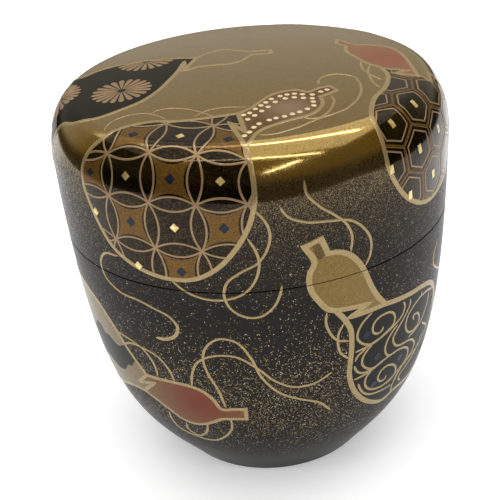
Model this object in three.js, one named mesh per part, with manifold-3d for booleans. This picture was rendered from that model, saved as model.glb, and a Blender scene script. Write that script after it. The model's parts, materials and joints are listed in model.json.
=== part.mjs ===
// Natsume tea caddy: a turned wooden pot with an inner rim, the lid that slides down over
// that rim, and the gold-foil squares and shell chips let into the lacquer of both.
import * as THREE from 'three';
import { mergeVertices } from 'three/addons/utils/BufferGeometryUtils.js';
import Module from 'manifold-3d';

const wasm = await Module();
wasm.setup();

// Driving dimensions in millimetres and degrees
// Z is the turning axis, the foot stands on Z = 0 and the front faces -Y

// The closed caddy's outline
const caddyDiameter = 67;
const potHeight = 45.5;      // from the foot to the seam where the lid meets the pot
const lidHeight = 24.5;
const domeRise = 1.5;        // swelling of the lid's top
const shoulderWidth = 5;
const shoulderDrop = 9.2;
const seamInset = 0.5;       // how far the seam lies inside the widest part
const footDiameter = 35;
const bellyPull = 33;        // how far the side goes on along its course below the seam
const footPull = 14;         // how far it keeps the foot's slope
const footSlope = 52;
const lidSideBend = 1.7;     // power by which the lid's side bends in to the seam

// Foot
const footRingWidth = 2.5;
const footRecess = 0.8;

// Walls and the fit of the lid
const lidWall = 1.8;
const lidTopThickness = 3.2;
const lidInnerRound = 7;
const lidSeatGap = 0.1;
const rimThickness = 1.3;
const rimTopGap = 5.3;       // from the rim's top to where the lid's inside rounds over
const rimClearance = 0.2;
const rimBevel = 0.4;
const floorThickness = 5;
const bowlTurnShare = 0.75;  // share of the side at which the bowl turns into its floor

// Chips let into the lacquer
const chipThickness = 0.3;
const chipStandsProud = 0.08;
const pocketClearance = 0.05;
const foilSquare = 1.05;
const foilStripWidth = 0.85;
const foilStripHeight = 1.4;
const shellSquare = 1.2;
const cutOverrun = 1;
const squareOnCorner = 45;   // degrees

// The patterned gourds that hold the chips: direction from the front, lean, and height of
// the pattern's middle over the seam, measured along the surface
const shippoPitch = 7.6;     // one cell of the interlocking circles
const shippoGourd = { direction: -22.3, overSeam: 18.7, lean: 1 };
const kikkoPitch = 7.2;      // one hexagon of the tortoise-shell pattern
const kikkoGourd = { direction: 49.7, overSeam: 16.1, lean: 6 };
const asanohaPitch = 7.4;    // one star of the hemp-leaf pattern
const asanohaGourd = { direction: 162, overSeam: 14.5, lean: -8 };
const swirlReach = 10;       // half the width of the swirls' field
const swirlGourd = { direction: 40, overSeam: -18.3, lean: 0 };

// Columns that hold a chip in each row of a pattern, counted from its middle cell
const shippoRows = [
  { row: 1, first: -1, last: 1 },
  { row: 0, first: -2, last: 1 },
  { row: -1, first: -2, last: 1 },
  { row: -2, first: -1, last: 0 },
];
const hexagonRows = [
  { row: 1, first: -1, last: 0 },
  { row: 0, first: -1, last: 1 },
  { row: -1, first: 0, last: 1 },
];
// Chips among the swirls, across and up, as shares of the swirls' reach
const swirlChipShares = [
  [-0.62, 0.58],
  [-0.35, 0.03],
  [0.25, -0.31],
  [-0.34, -0.59],
  [0.95, -0.29],
  [1.35, 0.25],
  [1.2, -0.75],
];

// Fineness of the turned surfaces
const turnSegments = 64;
const domeSteps = 4;
const shoulderSteps = 8;
const lidSideSteps = 4;
const potSideSteps = 10;
const bowlSteps = 7;
const roundSteps = 5;
const chipSteps = 2;
const finer = 12;            // the chips follow an outline this many times finer

// Derived sizes
const caddyRadius = caddyDiameter / 2;
const caddyHeight = potHeight + lidHeight;
const seamRadius = caddyRadius - seamInset;
const footRadius = footDiameter / 2;
const shoulderTop = caddyHeight - domeRise;
const shoulderFoot = shoulderTop - shoulderDrop;
const lidEdge = potHeight + lidSeatGap;
const mouthRadius = seamRadius - lidWall;
const rimOuterRadius = mouthRadius - rimClearance;
const rimInnerRadius = rimOuterRadius - rimThickness;
const potWall = seamRadius - rimInnerRadius;
const roofHeight = caddyHeight - lidTopThickness;
const rimTop = roofHeight - lidInnerRound - rimTopGap;
const hexagonRowShare = Math.sin(Math.PI / 3);

// The lid's outside, from the middle of its top down to its edge
function lidOutline(fineness) {
  const points = [];
  const flatRadius = caddyRadius - shoulderWidth;
  const domeCount = domeSteps * fineness;
  for (let i = 0; i <= domeCount; i++) {
    const share = i / domeCount;
    points.push(new THREE.Vector2(flatRadius * share, caddyHeight - domeRise * share ** 2));
  }
  const shoulderCount = shoulderSteps * fineness;
  for (let i = 1; i <= shoulderCount; i++) {
    const angle = (Math.PI / 2) * (i / shoulderCount);
    const across = shoulderWidth * Math.sin(angle);
    const up = shoulderDrop * Math.cos(angle);
    points.push(new THREE.Vector2(flatRadius + across, shoulderFoot + up));
  }
  const sideCount = lidSideSteps * fineness;
  for (let i = 1; i <= sideCount; i++) {
    const share = i / sideCount;
    const radius = caddyRadius - seamInset * share ** lidSideBend;
    points.push(new THREE.Vector2(radius, shoulderFoot + (lidEdge - shoulderFoot) * share));
  }
  return points;
}

// The pot's side, from the seam down to the foot, going on where the lid's side ends
function potSide() {
  const slope = seamInset * lidSideBend / (shoulderFoot - lidEdge);
  const onward = new THREE.Vector2(-slope, -1).normalize();
  const footAngle = THREE.MathUtils.degToRad(footSlope);
  const upward = new THREE.Vector2(Math.cos(footAngle), Math.sin(footAngle));
  const top = new THREE.Vector2(seamRadius, potHeight);
  const foot = new THREE.Vector2(footRadius, 0);
  const belly = top.clone().addScaledVector(onward, bellyPull);
  const calf = foot.clone().addScaledVector(upward, footPull);
  return new THREE.CubicBezierCurve(top, belly, calf, foot);
}

// A point inside the pot's wall, one wall's thickness in from the side
function bowlPoint(side, share) {
  const along = side.getTangent(share);
  const inward = new THREE.Vector2(along.y, -along.x);
  return side.getPoint(share).addScaledVector(inward, potWall);
}

// The bowl, from the rim down its wall, round the turn and onto the floor
function bowlOutline(side) {
  const points = [];
  for (let i = 0; i <= bowlSteps; i++) {
    points.push(bowlPoint(side, bowlTurnShare * (i / bowlSteps)));
  }
  const turn = points[points.length - 1];
  const along = side.getTangent(bowlTurnShare);
  const reach = (floorThickness - turn.y) / along.y;
  const corner = turn.clone().addScaledVector(along, reach);
  const end = new THREE.Vector2(corner.x - reach, floorThickness);
  const round = new THREE.QuadraticBezierCurve(turn, corner, end);
  return points.concat(round.getPoints(roundSteps).slice(1));
}

function potOutline() {
  const side = potSide();
  const points = [
    new THREE.Vector2(0, footRecess),
    new THREE.Vector2(footRadius - footRingWidth - footRecess, footRecess),
    new THREE.Vector2(footRadius - footRingWidth, 0),
  ];
  points.push(...side.getPoints(potSideSteps).reverse());
  points.push(new THREE.Vector2(rimOuterRadius, potHeight));
  points.push(new THREE.Vector2(rimOuterRadius, rimTop - rimBevel));
  points.push(new THREE.Vector2(rimOuterRadius - rimBevel, rimTop));
  points.push(new THREE.Vector2(rimInnerRadius + rimBevel, rimTop));
  points.push(new THREE.Vector2(rimInnerRadius, rimTop - rimBevel));
  points.push(...bowlOutline(side));
  points.push(new THREE.Vector2(0, floorThickness));
  return points;
}

function lidSection() {
  const points = [new THREE.Vector2(0, roofHeight)];
  for (let i = 0; i <= roundSteps; i++) {
    const angle = (Math.PI / 2) * (i / roundSteps);
    const across = lidInnerRound * Math.sin(angle);
    const up = lidInnerRound * Math.cos(angle);
    const centre = mouthRadius - lidInnerRound;
    points.push(new THREE.Vector2(centre + across, roofHeight - lidInnerRound + up));
  }
  points.push(new THREE.Vector2(mouthRadius, lidEdge));
  points.push(...lidOutline(1).reverse());
  return points;
}

// The whole outside as one line, with the length down it from the lid's middle
const outline = [...lidOutline(finer), ...potSide().getPoints(potSideSteps * finer)];
const lengths = [0];
for (let i = 1; i < outline.length; i++) {
  lengths.push(lengths[i - 1] + outline[i].distanceTo(outline[i - 1]));
}
const seamLength = lengths[lidOutline(finer).length];

// The point of the outline at a length down it, and the way the line goes there
function alongOutline(length) {
  let i = 1;
  while (i < lengths.length - 1 && lengths[i] < length) i++;
  const share = (length - lengths[i - 1]) / (lengths[i] - lengths[i - 1]);
  const point = outline[i - 1].clone().lerp(outline[i], share);
  const way = outline[i].clone().sub(outline[i - 1]).normalize();
  return { point, way };
}

// A point of a paper stencil laid on the surface: across and up from the stencil's middle,
// and out along the surface's normal. The paper bends as on the cone that touches there.
function onStencil(gourd, x, y, out) {
  const lean = THREE.MathUtils.degToRad(gourd.lean);
  const across = x * Math.cos(lean) - y * Math.sin(lean);
  const up = x * Math.sin(lean) + y * Math.cos(lean);
  const length = seamLength - gourd.overSeam - up;
  const here = alongOutline(length);
  const widening = here.way.x;
  const toTip = here.point.x / Math.max(Math.abs(widening), Number.EPSILON);
  const drop = (Math.hypot(toTip, across) - toTip) * Math.sign(widening);
  const spot = alongOutline(length + drop);
  const turned = Math.atan2(across, toTip) / Math.max(Math.abs(widening), Number.EPSILON);
  const angle = THREE.MathUtils.degToRad(gourd.direction) + turned;
  const radius = spot.point.x - spot.way.y * out;
  const height = spot.point.y + spot.way.x * out;
  return new THREE.Vector3(radius * Math.sin(angle), -radius * Math.cos(angle), height);
}

// A thin plate bent to the surface, at a place on a gourd's stencil
function plate(gourd, place, width, height, bottom, top) {
  const box = new THREE.BoxGeometry(width, height, top - bottom, chipSteps, chipSteps, 1);
  box.rotateZ(THREE.MathUtils.degToRad(place.turn));
  box.translate(place.x, place.y, (top + bottom) / 2);
  const spots = box.getAttribute('position');
  for (let i = 0; i < spots.count; i++) {
    const spot = onStencil(gourd, spots.getX(i), spots.getY(i), spots.getZ(i));
    spots.setXYZ(i, spot.x, spot.y, spot.z);
  }
  return box;
}

function turned(points) {
  return new THREE.LatheGeometry(points, turnSegments).rotateX(Math.PI / 2);
}

// A closed mesh as a solid that can be cut
function solidOf(geometry) {
  geometry.deleteAttribute('normal');
  geometry.deleteAttribute('uv');
  const merged = mergeVertices(geometry);
  const corners = [];
  for (let i = 0; i < merged.index.count; i += 3) {
    const [a, b, c] = [0, 1, 2].map((k) => merged.index.getX(i + k));
    if (a !== b && b !== c && c !== a) corners.push(a, b, c);
  }
  const mesh = new wasm.Mesh({
    numProp: 3,
    vertProperties: new Float32Array(merged.getAttribute('position').array),
    triVerts: new Uint32Array(corners),
  });
  return new wasm.Manifold(mesh);
}

function geometryOf(solid) {
  const mesh = solid.getMesh();
  const geometry = new THREE.BufferGeometry();
  geometry.setAttribute('position', new THREE.BufferAttribute(mesh.vertProperties, 3));
  geometry.setIndex(new THREE.BufferAttribute(mesh.triVerts, 1));
  geometry.computeVertexNormals();
  return geometry;
}

// Finishes
function speckledBlackLacquer() {
  return new THREE.MeshStandardMaterial({ color: '#3a332a', roughness: 0.2, metalness: 0.3 });
}
function sprinkledGoldLacquer() {
  return new THREE.MeshStandardMaterial({ color: '#8a7858', roughness: 0.3, metalness: 0.6 });
}
function goldFoil() {
  return new THREE.MeshStandardMaterial({ color: '#d9c07a', roughness: 0.3, metalness: 1 });
}
function blueShell() {
  return new THREE.MeshStandardMaterial({ color: '#3c5d6e', roughness: 0.2, metalness: 0.2 });
}

// Kinds of chip
const squareFoil = { width: foilSquare, height: foilSquare, turn: squareOnCorner, finish: goldFoil };
const stripFoil = { width: foilStripWidth, height: foilStripHeight, turn: 0, finish: goldFoil };
const squareShell = { width: shellSquare, height: shellSquare, turn: squareOnCorner, finish: blueShell };

// Each chip's place: its gourd, its kind and the name of its row of pieces
const lidChips = [];
for (const { row, first, last } of shippoRows) {
  for (let column = first; column <= last; column++) {
    const shell = (row + column) % 2 === 0;
    const name = shell ? 'shippo_shell_chip' : 'shippo_gold_square';
    const kind = shell ? squareShell : squareFoil;
    lidChips.push({ name, kind, gourd: shippoGourd, x: column * shippoPitch, y: row * shippoPitch });
  }
}
function addHexagonChips(name, kind, gourd, pitch) {
  for (const { row, first, last } of hexagonRows) {
    for (let column = first; column <= last; column++) {
      const x = (column + row / 2) * pitch;
      const y = row * pitch * hexagonRowShare;
      lidChips.push({ name, kind, gourd, x, y });
    }
  }
}
addHexagonChips('kikko_gold_strip', stripFoil, kikkoGourd, kikkoPitch);
addHexagonChips('asanoha_gold_square', squareFoil, asanohaGourd, asanohaPitch);
const potChips = [];
for (const [across, up] of swirlChipShares) {
  const x = across * swirlReach;
  const y = up * swirlReach;
  potChips.push({ name: 'swirl_shell_chip', kind: squareShell, gourd: swirlGourd, x, y });
}

// A turned shell with a pocket for each chip, and the chips in their pockets
function assemble(name, section, finish, chips) {
  const group = new THREE.Group();
  let shell = solidOf(turned(section));
  const counts = {};
  for (const chip of chips) {
    const { width, height, turn } = chip.kind;
    const place = { x: chip.x, y: chip.y, turn };
    const bottom = chipStandsProud - chipThickness;
    const pocketWidth = width + 2 * pocketClearance;
    const pocketHeight = height + 2 * pocketClearance;
    const pocketFloor = bottom - pocketClearance;
    const pocket = plate(chip.gourd, place, pocketWidth, pocketHeight, pocketFloor, cutOverrun);
    shell = shell.subtract(solidOf(pocket));
    const body = plate(chip.gourd, place, width, height, bottom, chipStandsProud);
    const mesh = new THREE.Mesh(body, chip.kind.finish());
    counts[chip.name] = (counts[chip.name] ?? 0) + 1;
    mesh.name = `${chip.name}_${String(counts[chip.name]).padStart(2, '0')}`;
    group.add(mesh);
  }
  const mesh = new THREE.Mesh(geometryOf(shell), finish());
  mesh.name = name;
  group.add(mesh);
  return group;
}

const caddy = new THREE.Group();
caddy.name = 'natsume_tea_caddy';
caddy.add(assemble('pot', potOutline(), speckledBlackLacquer, potChips));
caddy.add(assemble('lid', lidSection(), sprinkledGoldLacquer, lidChips));

export default caddy;
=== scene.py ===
# %% [markdown]
# # A natsume tea caddy in black lacquer and gold
# A natsume is a small round box for powdered tea. Its pot and its lid are turned in wood,
# coated with many layers of lacquer, sprinkled with gold powder and painted with gold.
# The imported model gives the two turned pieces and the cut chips. This lesson dresses them.

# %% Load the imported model
import json
import math
import bmesh
import bpy
import numpy as np
from mathutils import Matrix, Vector
from mathutils.geometry import delaunay_2d_cdt

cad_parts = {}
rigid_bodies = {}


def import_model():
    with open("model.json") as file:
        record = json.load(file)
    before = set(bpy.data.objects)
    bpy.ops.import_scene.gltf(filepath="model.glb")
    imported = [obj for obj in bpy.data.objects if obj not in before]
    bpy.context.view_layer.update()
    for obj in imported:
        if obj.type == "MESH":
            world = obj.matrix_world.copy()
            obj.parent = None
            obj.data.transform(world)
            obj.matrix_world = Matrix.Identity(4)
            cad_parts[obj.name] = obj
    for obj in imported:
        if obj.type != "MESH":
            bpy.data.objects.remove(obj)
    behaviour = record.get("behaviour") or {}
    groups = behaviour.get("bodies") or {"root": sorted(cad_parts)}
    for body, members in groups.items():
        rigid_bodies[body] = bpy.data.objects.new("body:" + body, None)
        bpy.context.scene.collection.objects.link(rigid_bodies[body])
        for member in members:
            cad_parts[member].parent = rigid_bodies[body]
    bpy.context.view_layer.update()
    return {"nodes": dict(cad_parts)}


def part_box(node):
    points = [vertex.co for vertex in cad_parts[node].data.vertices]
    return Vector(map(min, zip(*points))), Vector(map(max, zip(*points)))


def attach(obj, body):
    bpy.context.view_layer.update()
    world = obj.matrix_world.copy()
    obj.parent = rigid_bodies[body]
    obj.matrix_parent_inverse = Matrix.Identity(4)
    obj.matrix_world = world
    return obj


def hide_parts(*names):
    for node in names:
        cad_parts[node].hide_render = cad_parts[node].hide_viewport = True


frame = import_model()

# %% [markdown]
# ## The outline of the closed caddy
# Every coat follows the same turned outline, so the outline comes first. It could be read
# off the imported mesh, but that one is faceted. Here it is drawn again as smooth curves
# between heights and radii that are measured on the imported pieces: a low dome, a rounded
# shoulder, a side that bends in to the seam, and a belly that runs down to the foot.

# %% Sizes of the outline
MM = 0.001
lid_low, lid_high = (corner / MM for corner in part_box("lid"))
pot_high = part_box("pot")[1] / MM
radius, height = lid_high.x, lid_high.z
seam_radius, lid_edge, rim_top = pot_high.x, lid_low.z, pot_high.z
seat_gap = 0.1
seam = lid_edge - seat_gap
dome_rise, shoulder_width, shoulder_drop = 1.5, 5.0, 9.2
side_bend, foot_radius, foot_slope = 1.7, 17.5, math.radians(52)
belly_pull, foot_pull = 33.0, 14.0
shoulder_foot = height - dome_rise - shoulder_drop
print(f"radius {radius:.1f}, height {height:.1f}, seam at {seam:.1f} mm")


# %% The outline as a fine line
lid_points, pot_points = 400, 800


def bezier(a, b, c, d, count):
    """Points of a cubic curve, without its first one."""
    t = np.linspace(0, 1, count + 1)[1:, None]
    a, b, c, d = map(np.array, (a, b, c, d))
    return (1 - t) ** 3 * a + 3 * t * (1 - t) ** 2 * b + 3 * t**2 * (1 - t) * c + t**3 * d


def lid_line(count):
    """Radius and height down the lid's outside, from the middle of its top."""
    share = np.linspace(0, 1, count)
    flat = radius - shoulder_width
    dome = np.column_stack([flat * share, height - dome_rise * share**2])
    angle = share[1:] * math.pi / 2
    round_edge = np.column_stack(
        [flat + shoulder_width * np.sin(angle), shoulder_foot + shoulder_drop * np.cos(angle)])
    inset = (radius - seam_radius) * share[1:] ** side_bend
    side = np.column_stack([radius - inset, shoulder_foot + (lid_edge - shoulder_foot) * share[1:]])
    return np.vstack([dome, round_edge, side])


def pot_line(count):
    """Radius and height down the pot's outside, from the seam to the foot."""
    slope = (radius - seam_radius) * side_bend / (shoulder_foot - lid_edge)
    onward = np.array([-slope, -1]) / math.hypot(slope, 1)
    top, foot = np.array([seam_radius, seam]), np.array([foot_radius, 0.0])
    belly = top + belly_pull * onward
    calf = foot + foot_pull * np.array([math.cos(foot_slope), math.sin(foot_slope)])
    return np.vstack([[top], bezier(top, belly, calf, foot, count)])


outline = np.vstack([lid_line(lid_points), pot_line(pot_points)])
outline_down = np.concatenate([[0], np.cumsum(np.hypot(*np.diff(outline, axis=0).T))])
outline_way = np.gradient(outline, outline_down, axis=0)
outline_way /= np.linalg.norm(outline_way, axis=1)[:, None]
seam_down = np.interp(-seam, -outline[:, 1], outline_down)
print(f"outline {outline_down[-1]:.1f} mm long, seam {seam_down:.1f} mm down it")

# %% [markdown]
# ## Places on the surface
# A place is given by its direction, in degrees from the front towards +X, and by how far
# down the outline it lies, in millimetres from the middle of the lid. Two small functions
# turn such places into points and back, so that everything painted sits on the lacquer.
# Blender's Shrinkwrap modifier could press lines onto a mesh, but a formula is exact, and
# it gives the lift over the lacquer as well.

# %% From places to points and back
search_block = 2000


def surface(angle, down, lift=0.0):
    """Points in millimetres at some lift over the lacquer."""
    angle, down = np.radians(angle), np.asarray(down, float)
    r, z = (np.interp(down, outline_down, outline[:, i]) for i in (0, 1))
    way_r, way_z = (np.interp(down, outline_down, outline_way[:, i]) for i in (0, 1))
    r, z = r - way_z * lift, z + way_r * lift
    return np.stack([r * np.sin(angle), -r * np.cos(angle), z], -1)


def locate(points):
    """Direction and distance down of the places nearest to some points, block by block."""
    points = np.atleast_2d(points)
    r, z = np.hypot(points[:, 0], points[:, 1]), points[:, 2]
    start, run = outline[:-1], np.diff(outline, axis=0)
    best = np.empty(len(points), int)
    for first in range(0, len(points), search_block):
        part = slice(first, first + search_block)
        gap = (outline[:, 0] - r[part, None]) ** 2 + (outline[:, 1] - z[part, None]) ** 2
        best[part] = np.clip(np.argmin(gap, axis=1), 1, len(outline) - 2)
    down = outline_down[best] + ((np.column_stack([r, z]) - outline[best]) * outline_way[best]).sum(1)
    return np.degrees(np.arctan2(points[:, 0], -points[:, 1])), down


print("the seam in front lies at", surface(0, seam_down).round(1))

# %% [markdown]
# ## Camera
# The photograph was taken from a little above, close by, with the camera slightly turned
# about its own axis. Fitting the outline gave the distance, the angles and the focal
# length, which is in pixels of the photograph. The camera could be set up last, but what
# the photograph shows is placed through it, so it comes before the painting.

# %% The camera of the photograph
image_size = 500
photo_elevation, photo_roll = math.radians(27.4), math.radians(5.2)
photo_distance, photo_focal = 203.1, 1126.0
photo_target = np.array([-1.8, 0.0, 35.7])
camera_back = np.array([0, -math.cos(photo_elevation), math.sin(photo_elevation)])
level_right = np.array([1.0, 0, 0])
level_up = np.cross(camera_back, level_right)
camera_right = math.cos(photo_roll) * level_right - math.sin(photo_roll) * level_up
camera_up = math.sin(photo_roll) * level_right + math.cos(photo_roll) * level_up
camera_place = photo_target + photo_distance * camera_back
camera_data = bpy.data.cameras.new("photo_camera")
sensor_width = 36.0
camera_data.sensor_width = sensor_width
camera_data.lens = photo_focal * sensor_width / image_size
camera = bpy.data.objects.new("photo_camera", camera_data)
turn = Matrix(np.column_stack([camera_right, camera_up, camera_back]).tolist()).to_4x4()
camera.matrix_world = Matrix.Translation(Vector(camera_place * MM)) @ turn
bpy.context.scene.collection.objects.link(camera)
bpy.context.scene.camera = camera
print(f"lens {camera_data.lens:.1f} mm, {photo_distance:.0f} mm from the middle of the caddy")

# %% [markdown]
# ## Shells
# The pot and the lid are turned, so a lathe's way makes them here too: an outline swept
# round the axis. The Screw modifier does that, but it can't give each ring its own finish,
# so the rings are joined here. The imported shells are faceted, and finer ones replace them.
# The edges that meet at the seam are slightly rounded, as lacquered edges are, which gives
# the thin dark line round the caddy. Inside, the lacquer is plain black.

# %% Turn an outline round the axis
turn_steps = 288


def turned(name, line, finishes, finish_of):
    """A closed turned body. finish_of gives each ring's number in the list of finishes."""
    rings = np.asarray(line, float)
    angle = np.arange(turn_steps) * 2 * math.pi / turn_steps
    inner = rings[1:-1]
    verts = [[0, 0, rings[0, 1]]]
    for r, z in inner:
        verts.extend(np.column_stack([r * np.sin(angle), -r * np.cos(angle), np.full(turn_steps, z)]))
    verts.append([0, 0, rings[-1, 1]])
    faces, numbers = [], []
    last, end = 1 + (len(inner) - 1) * turn_steps, len(verts) - 1
    for i in range(turn_steps):
        j = (i + 1) % turn_steps
        faces.append((0, 1 + i, 1 + j))
        numbers.append(finish_of(0))
        faces.append((end, last + j, last + i))
        numbers.append(finish_of(len(inner)))
        for k in range(len(inner) - 1):
            a, b = 1 + k * turn_steps, 1 + (k + 1) * turn_steps
            faces.append((a + i, b + i, b + j, a + j))
            numbers.append(finish_of(k + 1))
    mesh = bpy.data.meshes.new(name)
    mesh.from_pydata((np.array(verts) * MM).tolist(), [], faces)
    mesh.polygons.foreach_set("material_index", numbers)
    mesh.polygons.foreach_set("use_smooth", [True] * len(faces))
    for finish in finishes:
        mesh.materials.append(finish)
    piece = bpy.data.objects.new(name, mesh)
    bpy.context.scene.collection.objects.link(piece)
    return piece


print("one turning step is", round(2 * math.pi * radius / turn_steps, 2), "mm long at the side")

# %% [markdown]
# ## Finishes
# Under the eye, everything on the caddy is one glossy skin of clear lacquer over different
# grounds: gold powder, black, red, or cut foil. So each finish is one Principled shader whose
# coat is the clear lacquer, refractive index 1.5 and polished smooth, and whose base is the
# ground. The base's own mirror image is switched off, as the coat makes it. The coat is only
# partly there, because the photograph shows that image weaker than a full coat would. Two
# shaders mixed by hand could do the same, with more nodes. Colours are written as sRGB hex
# and turned to linear once.

# %% Colours and nodes
lacquer_index, lacquer_polish = 1.5, 0.04


def linear(code):
    """An sRGB hex colour as linear red, green, blue and alpha."""
    parts = [int(code[i:i + 2], 16) / 255 for i in (1, 3, 5)]
    return [v / 12.92 if v <= 0.04045 else ((v + 0.055) / 1.055) ** 2.4 for v in parts] + [1]


def node(tree, kind, inputs=None, stops=(), **settings):
    """Adds a node with its settings, links each input that is given a socket, and sets the
    stops of a colour ramp, each a position and a hex colour or a grey level."""
    made = tree.nodes.new(kind)
    for name, value in settings.items():
        setattr(made, name, value)
    for name, value in (inputs or {}).items():
        if isinstance(value, bpy.types.NodeSocket):
            tree.links.new(value, made.inputs[name])
        else:
            made.inputs[name].default_value = value
    for i, (position, tone) in enumerate(stops):
        elements = made.color_ramp.elements
        if i == len(elements):
            elements.new(1.0)
        elements[i].position = position
        elements[i].color = linear(tone) if isinstance(tone, str) else (tone, tone, tone, 1)
    return made


def coated(name, clear_coat=0.45):
    """A new material whose surface is clear lacquer over a ground that the caller links."""
    finish = bpy.data.materials.new(name)
    finish.use_nodes = True
    tree = finish.node_tree
    shader = tree.nodes["Principled BSDF"]
    shader.inputs["Coat Weight"].default_value = clear_coat
    shader.inputs["Coat Roughness"].default_value = lacquer_polish
    shader.inputs["Coat IOR"].default_value = lacquer_index
    shader.inputs["Specular IOR Level"].default_value = 0.0
    return finish, tree, shader


print("middle grey in linear light:", [round(v, 3) for v in linear("#808080")])

# %% [markdown]
# ### Sprinkled gold
# The maker sifts gold filings onto wet lacquer, seals them in clear lacquer and polishes
# that flat. On this caddy the powder lies so thick on top of the lid that it closes, thins
# out over the shoulder, and ends in loose grains over black. It could be a picture mapped
# round the body, but cells that fill space need no mapping and end nowhere. Each Voronoi
# cell is one grain: its random colour decides whether it is there, and the height sets how
# many are. Real grains are some hundredths of a millimetre across, too fine to show in the
# render, so the cells are as coarse as they need to be: 0.075 mm where the powder closes,
# and 0.18 mm for the loose grains.

# %% Tones and amounts of powder
dense_grain, loose_grain, powder_drift = 0.075, 0.18, 9.09
dense_seed, loose_seed = 0.0, 0.037
black_ground, powder_haze = "#130d07", "#57452b"
powder_tones = [(0.0, "#8a7342"), (0.35, "#98804a"), (0.7, "#a58d54"), (1.0, "#b59d64")]
thin_tones = [(0.0, "#4e4130"), (0.5, "#63543c"), (1.0, "#7b6a4c")]
spark_tones = [(0.0, "#6a4c2c"), (0.3, "#9a7a44"), (0.55, "#b89a62"), (0.8, "#8a8478"), (1.0, "#d8ccb0")]
closed_powder = [(42, 0.0), (50, 0.05), (56, 0.12), (61, 0.25), (63, 0.5), (65, 0.85), (67, 1.0)]
loose_powder = [(7, 0.0), (12, 0.14), (17, 0.36), (23, 0.42), (29, 0.3), (35, 0.16), (42, 0.07), (60, 0.0)]
sprinkled_coat, even_share = 0.36, 0.6
spark_reach, spark_least, spark_metal = 0.28, 0.24, 0.6
powder_smoothest, powder_roughest = 0.09, 0.2
print("powder closes at", closed_powder[-1][0], "mm and is loose up to", loose_powder[-1][0], "mm")


# %% Grains of a real size
def grains(tree, size_mm, seed):
    """Voronoi cells of a real size: distance from the cell's middle, and random numbers."""
    place = node(tree, "ShaderNodeTexCoord").outputs["Object"]
    moved = node(tree, "ShaderNodeVectorMath", {0: place, 1: (seed, seed, seed)})
    cells = node(tree, "ShaderNodeTexVoronoi",
                 {"Vector": moved.outputs[0], "Scale": 1 / (size_mm * MM), "Randomness": 1.0})
    chance = node(tree, "ShaderNodeSeparateColor", {"Color": cells.outputs["Color"]})
    return cells.outputs["Distance"], chance.outputs


def by_height(tree, level, stops):
    """A value that follows the height, given as (millimetres, value) pairs."""
    share = node(tree, "ShaderNodeMapRange", {"Value": level, "From Max": height * MM}).outputs[0]
    rising = [(z / height, value) for z, value in stops]
    return node(tree, "ShaderNodeValToRGB", {"Fac": share}, rising).outputs[0]


print("grains to a millimetre:", round(1 / dense_grain), "closed and", round(1 / loose_grain), "loose")


# %% Gold powder thinning out down the side
def sprinkled_gold():
    """Gold powder in black lacquer: a soft metal sheen on the lid, single sparks on the pot."""
    finish, tree, shader = coated("sprinkled_gold_lacquer", sprinkled_coat)
    place = node(tree, "ShaderNodeTexCoord").outputs["Object"]
    level = node(tree, "ShaderNodeSeparateXYZ", {0: place}).outputs["Z"]
    drift = node(tree, "ShaderNodeTexNoise",
                 {"Vector": place, "Scale": 1 / (powder_drift * MM), "Detail": 2.0})
    uneven = node(tree, "ShaderNodeMath", {0: drift.outputs["Fac"], 1: even_share}).outputs[0]
    closed = by_height(tree, level, closed_powder)
    _, chance = grains(tree, dense_grain, dense_seed)
    limit = node(tree, "ShaderNodeMath", {0: closed, 1: uneven}, operation="MULTIPLY").outputs[0]
    cover = node(tree, "ShaderNodeMath", {0: chance["Red"], 1: limit}, operation="LESS_THAN").outputs[0]
    thick = node(tree, "ShaderNodeValToRGB", {"Fac": chance["Green"]}, powder_tones).outputs[0]
    thin = node(tree, "ShaderNodeValToRGB", {"Fac": chance["Green"]}, thin_tones).outputs[0]
    powder = node(tree, "ShaderNodeMix", {"Factor": closed, "A": thin, "B": thick},
                  data_type="RGBA").outputs["Result"]
    haze = node(tree, "ShaderNodeMix",
                {"Factor": closed, "A": linear(black_ground), "B": linear(powder_haze)},
                data_type="RGBA").outputs["Result"]
    ground = node(tree, "ShaderNodeMix", {"Factor": cover, "A": haze, "B": powder},
                  data_type="RGBA").outputs["Result"]
    sparse = by_height(tree, level, loose_powder)
    distance, luck = grains(tree, loose_grain, loose_seed)
    limit = node(tree, "ShaderNodeMath", {0: sparse, 1: uneven}, operation="MULTIPLY").outputs[0]
    chosen = node(tree, "ShaderNodeMath", {0: luck["Red"], 1: limit}, operation="LESS_THAN").outputs[0]
    reach = node(tree, "ShaderNodeMath", {0: luck["Green"], 1: spark_reach, 2: spark_least},
                 operation="MULTIPLY_ADD").outputs[0]
    small = node(tree, "ShaderNodeMath", {0: distance, 1: reach}, operation="LESS_THAN").outputs[0]
    spark = node(tree, "ShaderNodeMath", {0: chosen, 1: small}, operation="MULTIPLY").outputs[0]
    flash = node(tree, "ShaderNodeValToRGB", {"Fac": luck["Blue"]}, spark_tones).outputs[0]
    colour = node(tree, "ShaderNodeMix", {"Factor": spark, "A": ground, "B": flash},
                  data_type="RGBA").outputs["Result"]
    glint = node(tree, "ShaderNodeMath", {0: spark, 1: spark_metal}, operation="MULTIPLY").outputs[0]
    metal = node(tree, "ShaderNodeMath", {0: cover, 1: glint}, operation="MAXIMUM").outputs[0]
    rough = node(tree, "ShaderNodeMapRange",
                 {"Value": chance["Blue"], "To Min": powder_smoothest,
                  "To Max": powder_roughest}).outputs[0]
    tree.links.new(colour, shader.inputs["Base Color"])
    tree.links.new(metal, shader.inputs["Metallic"])
    tree.links.new(rough, shader.inputs["Roughness"])
    return finish


outside_finish = sprinkled_gold()
print("finish:", outside_finish.name)

# %% [markdown]
# ### Black lacquer
# The inside is polished black lacquer: many coats with lampblack, each rubbed down with
# charcoal and at last with fine powder and oil. A plain black would look like plastic. The
# real one is never quite even in depth, so its black drifts a little between two tones.

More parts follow.
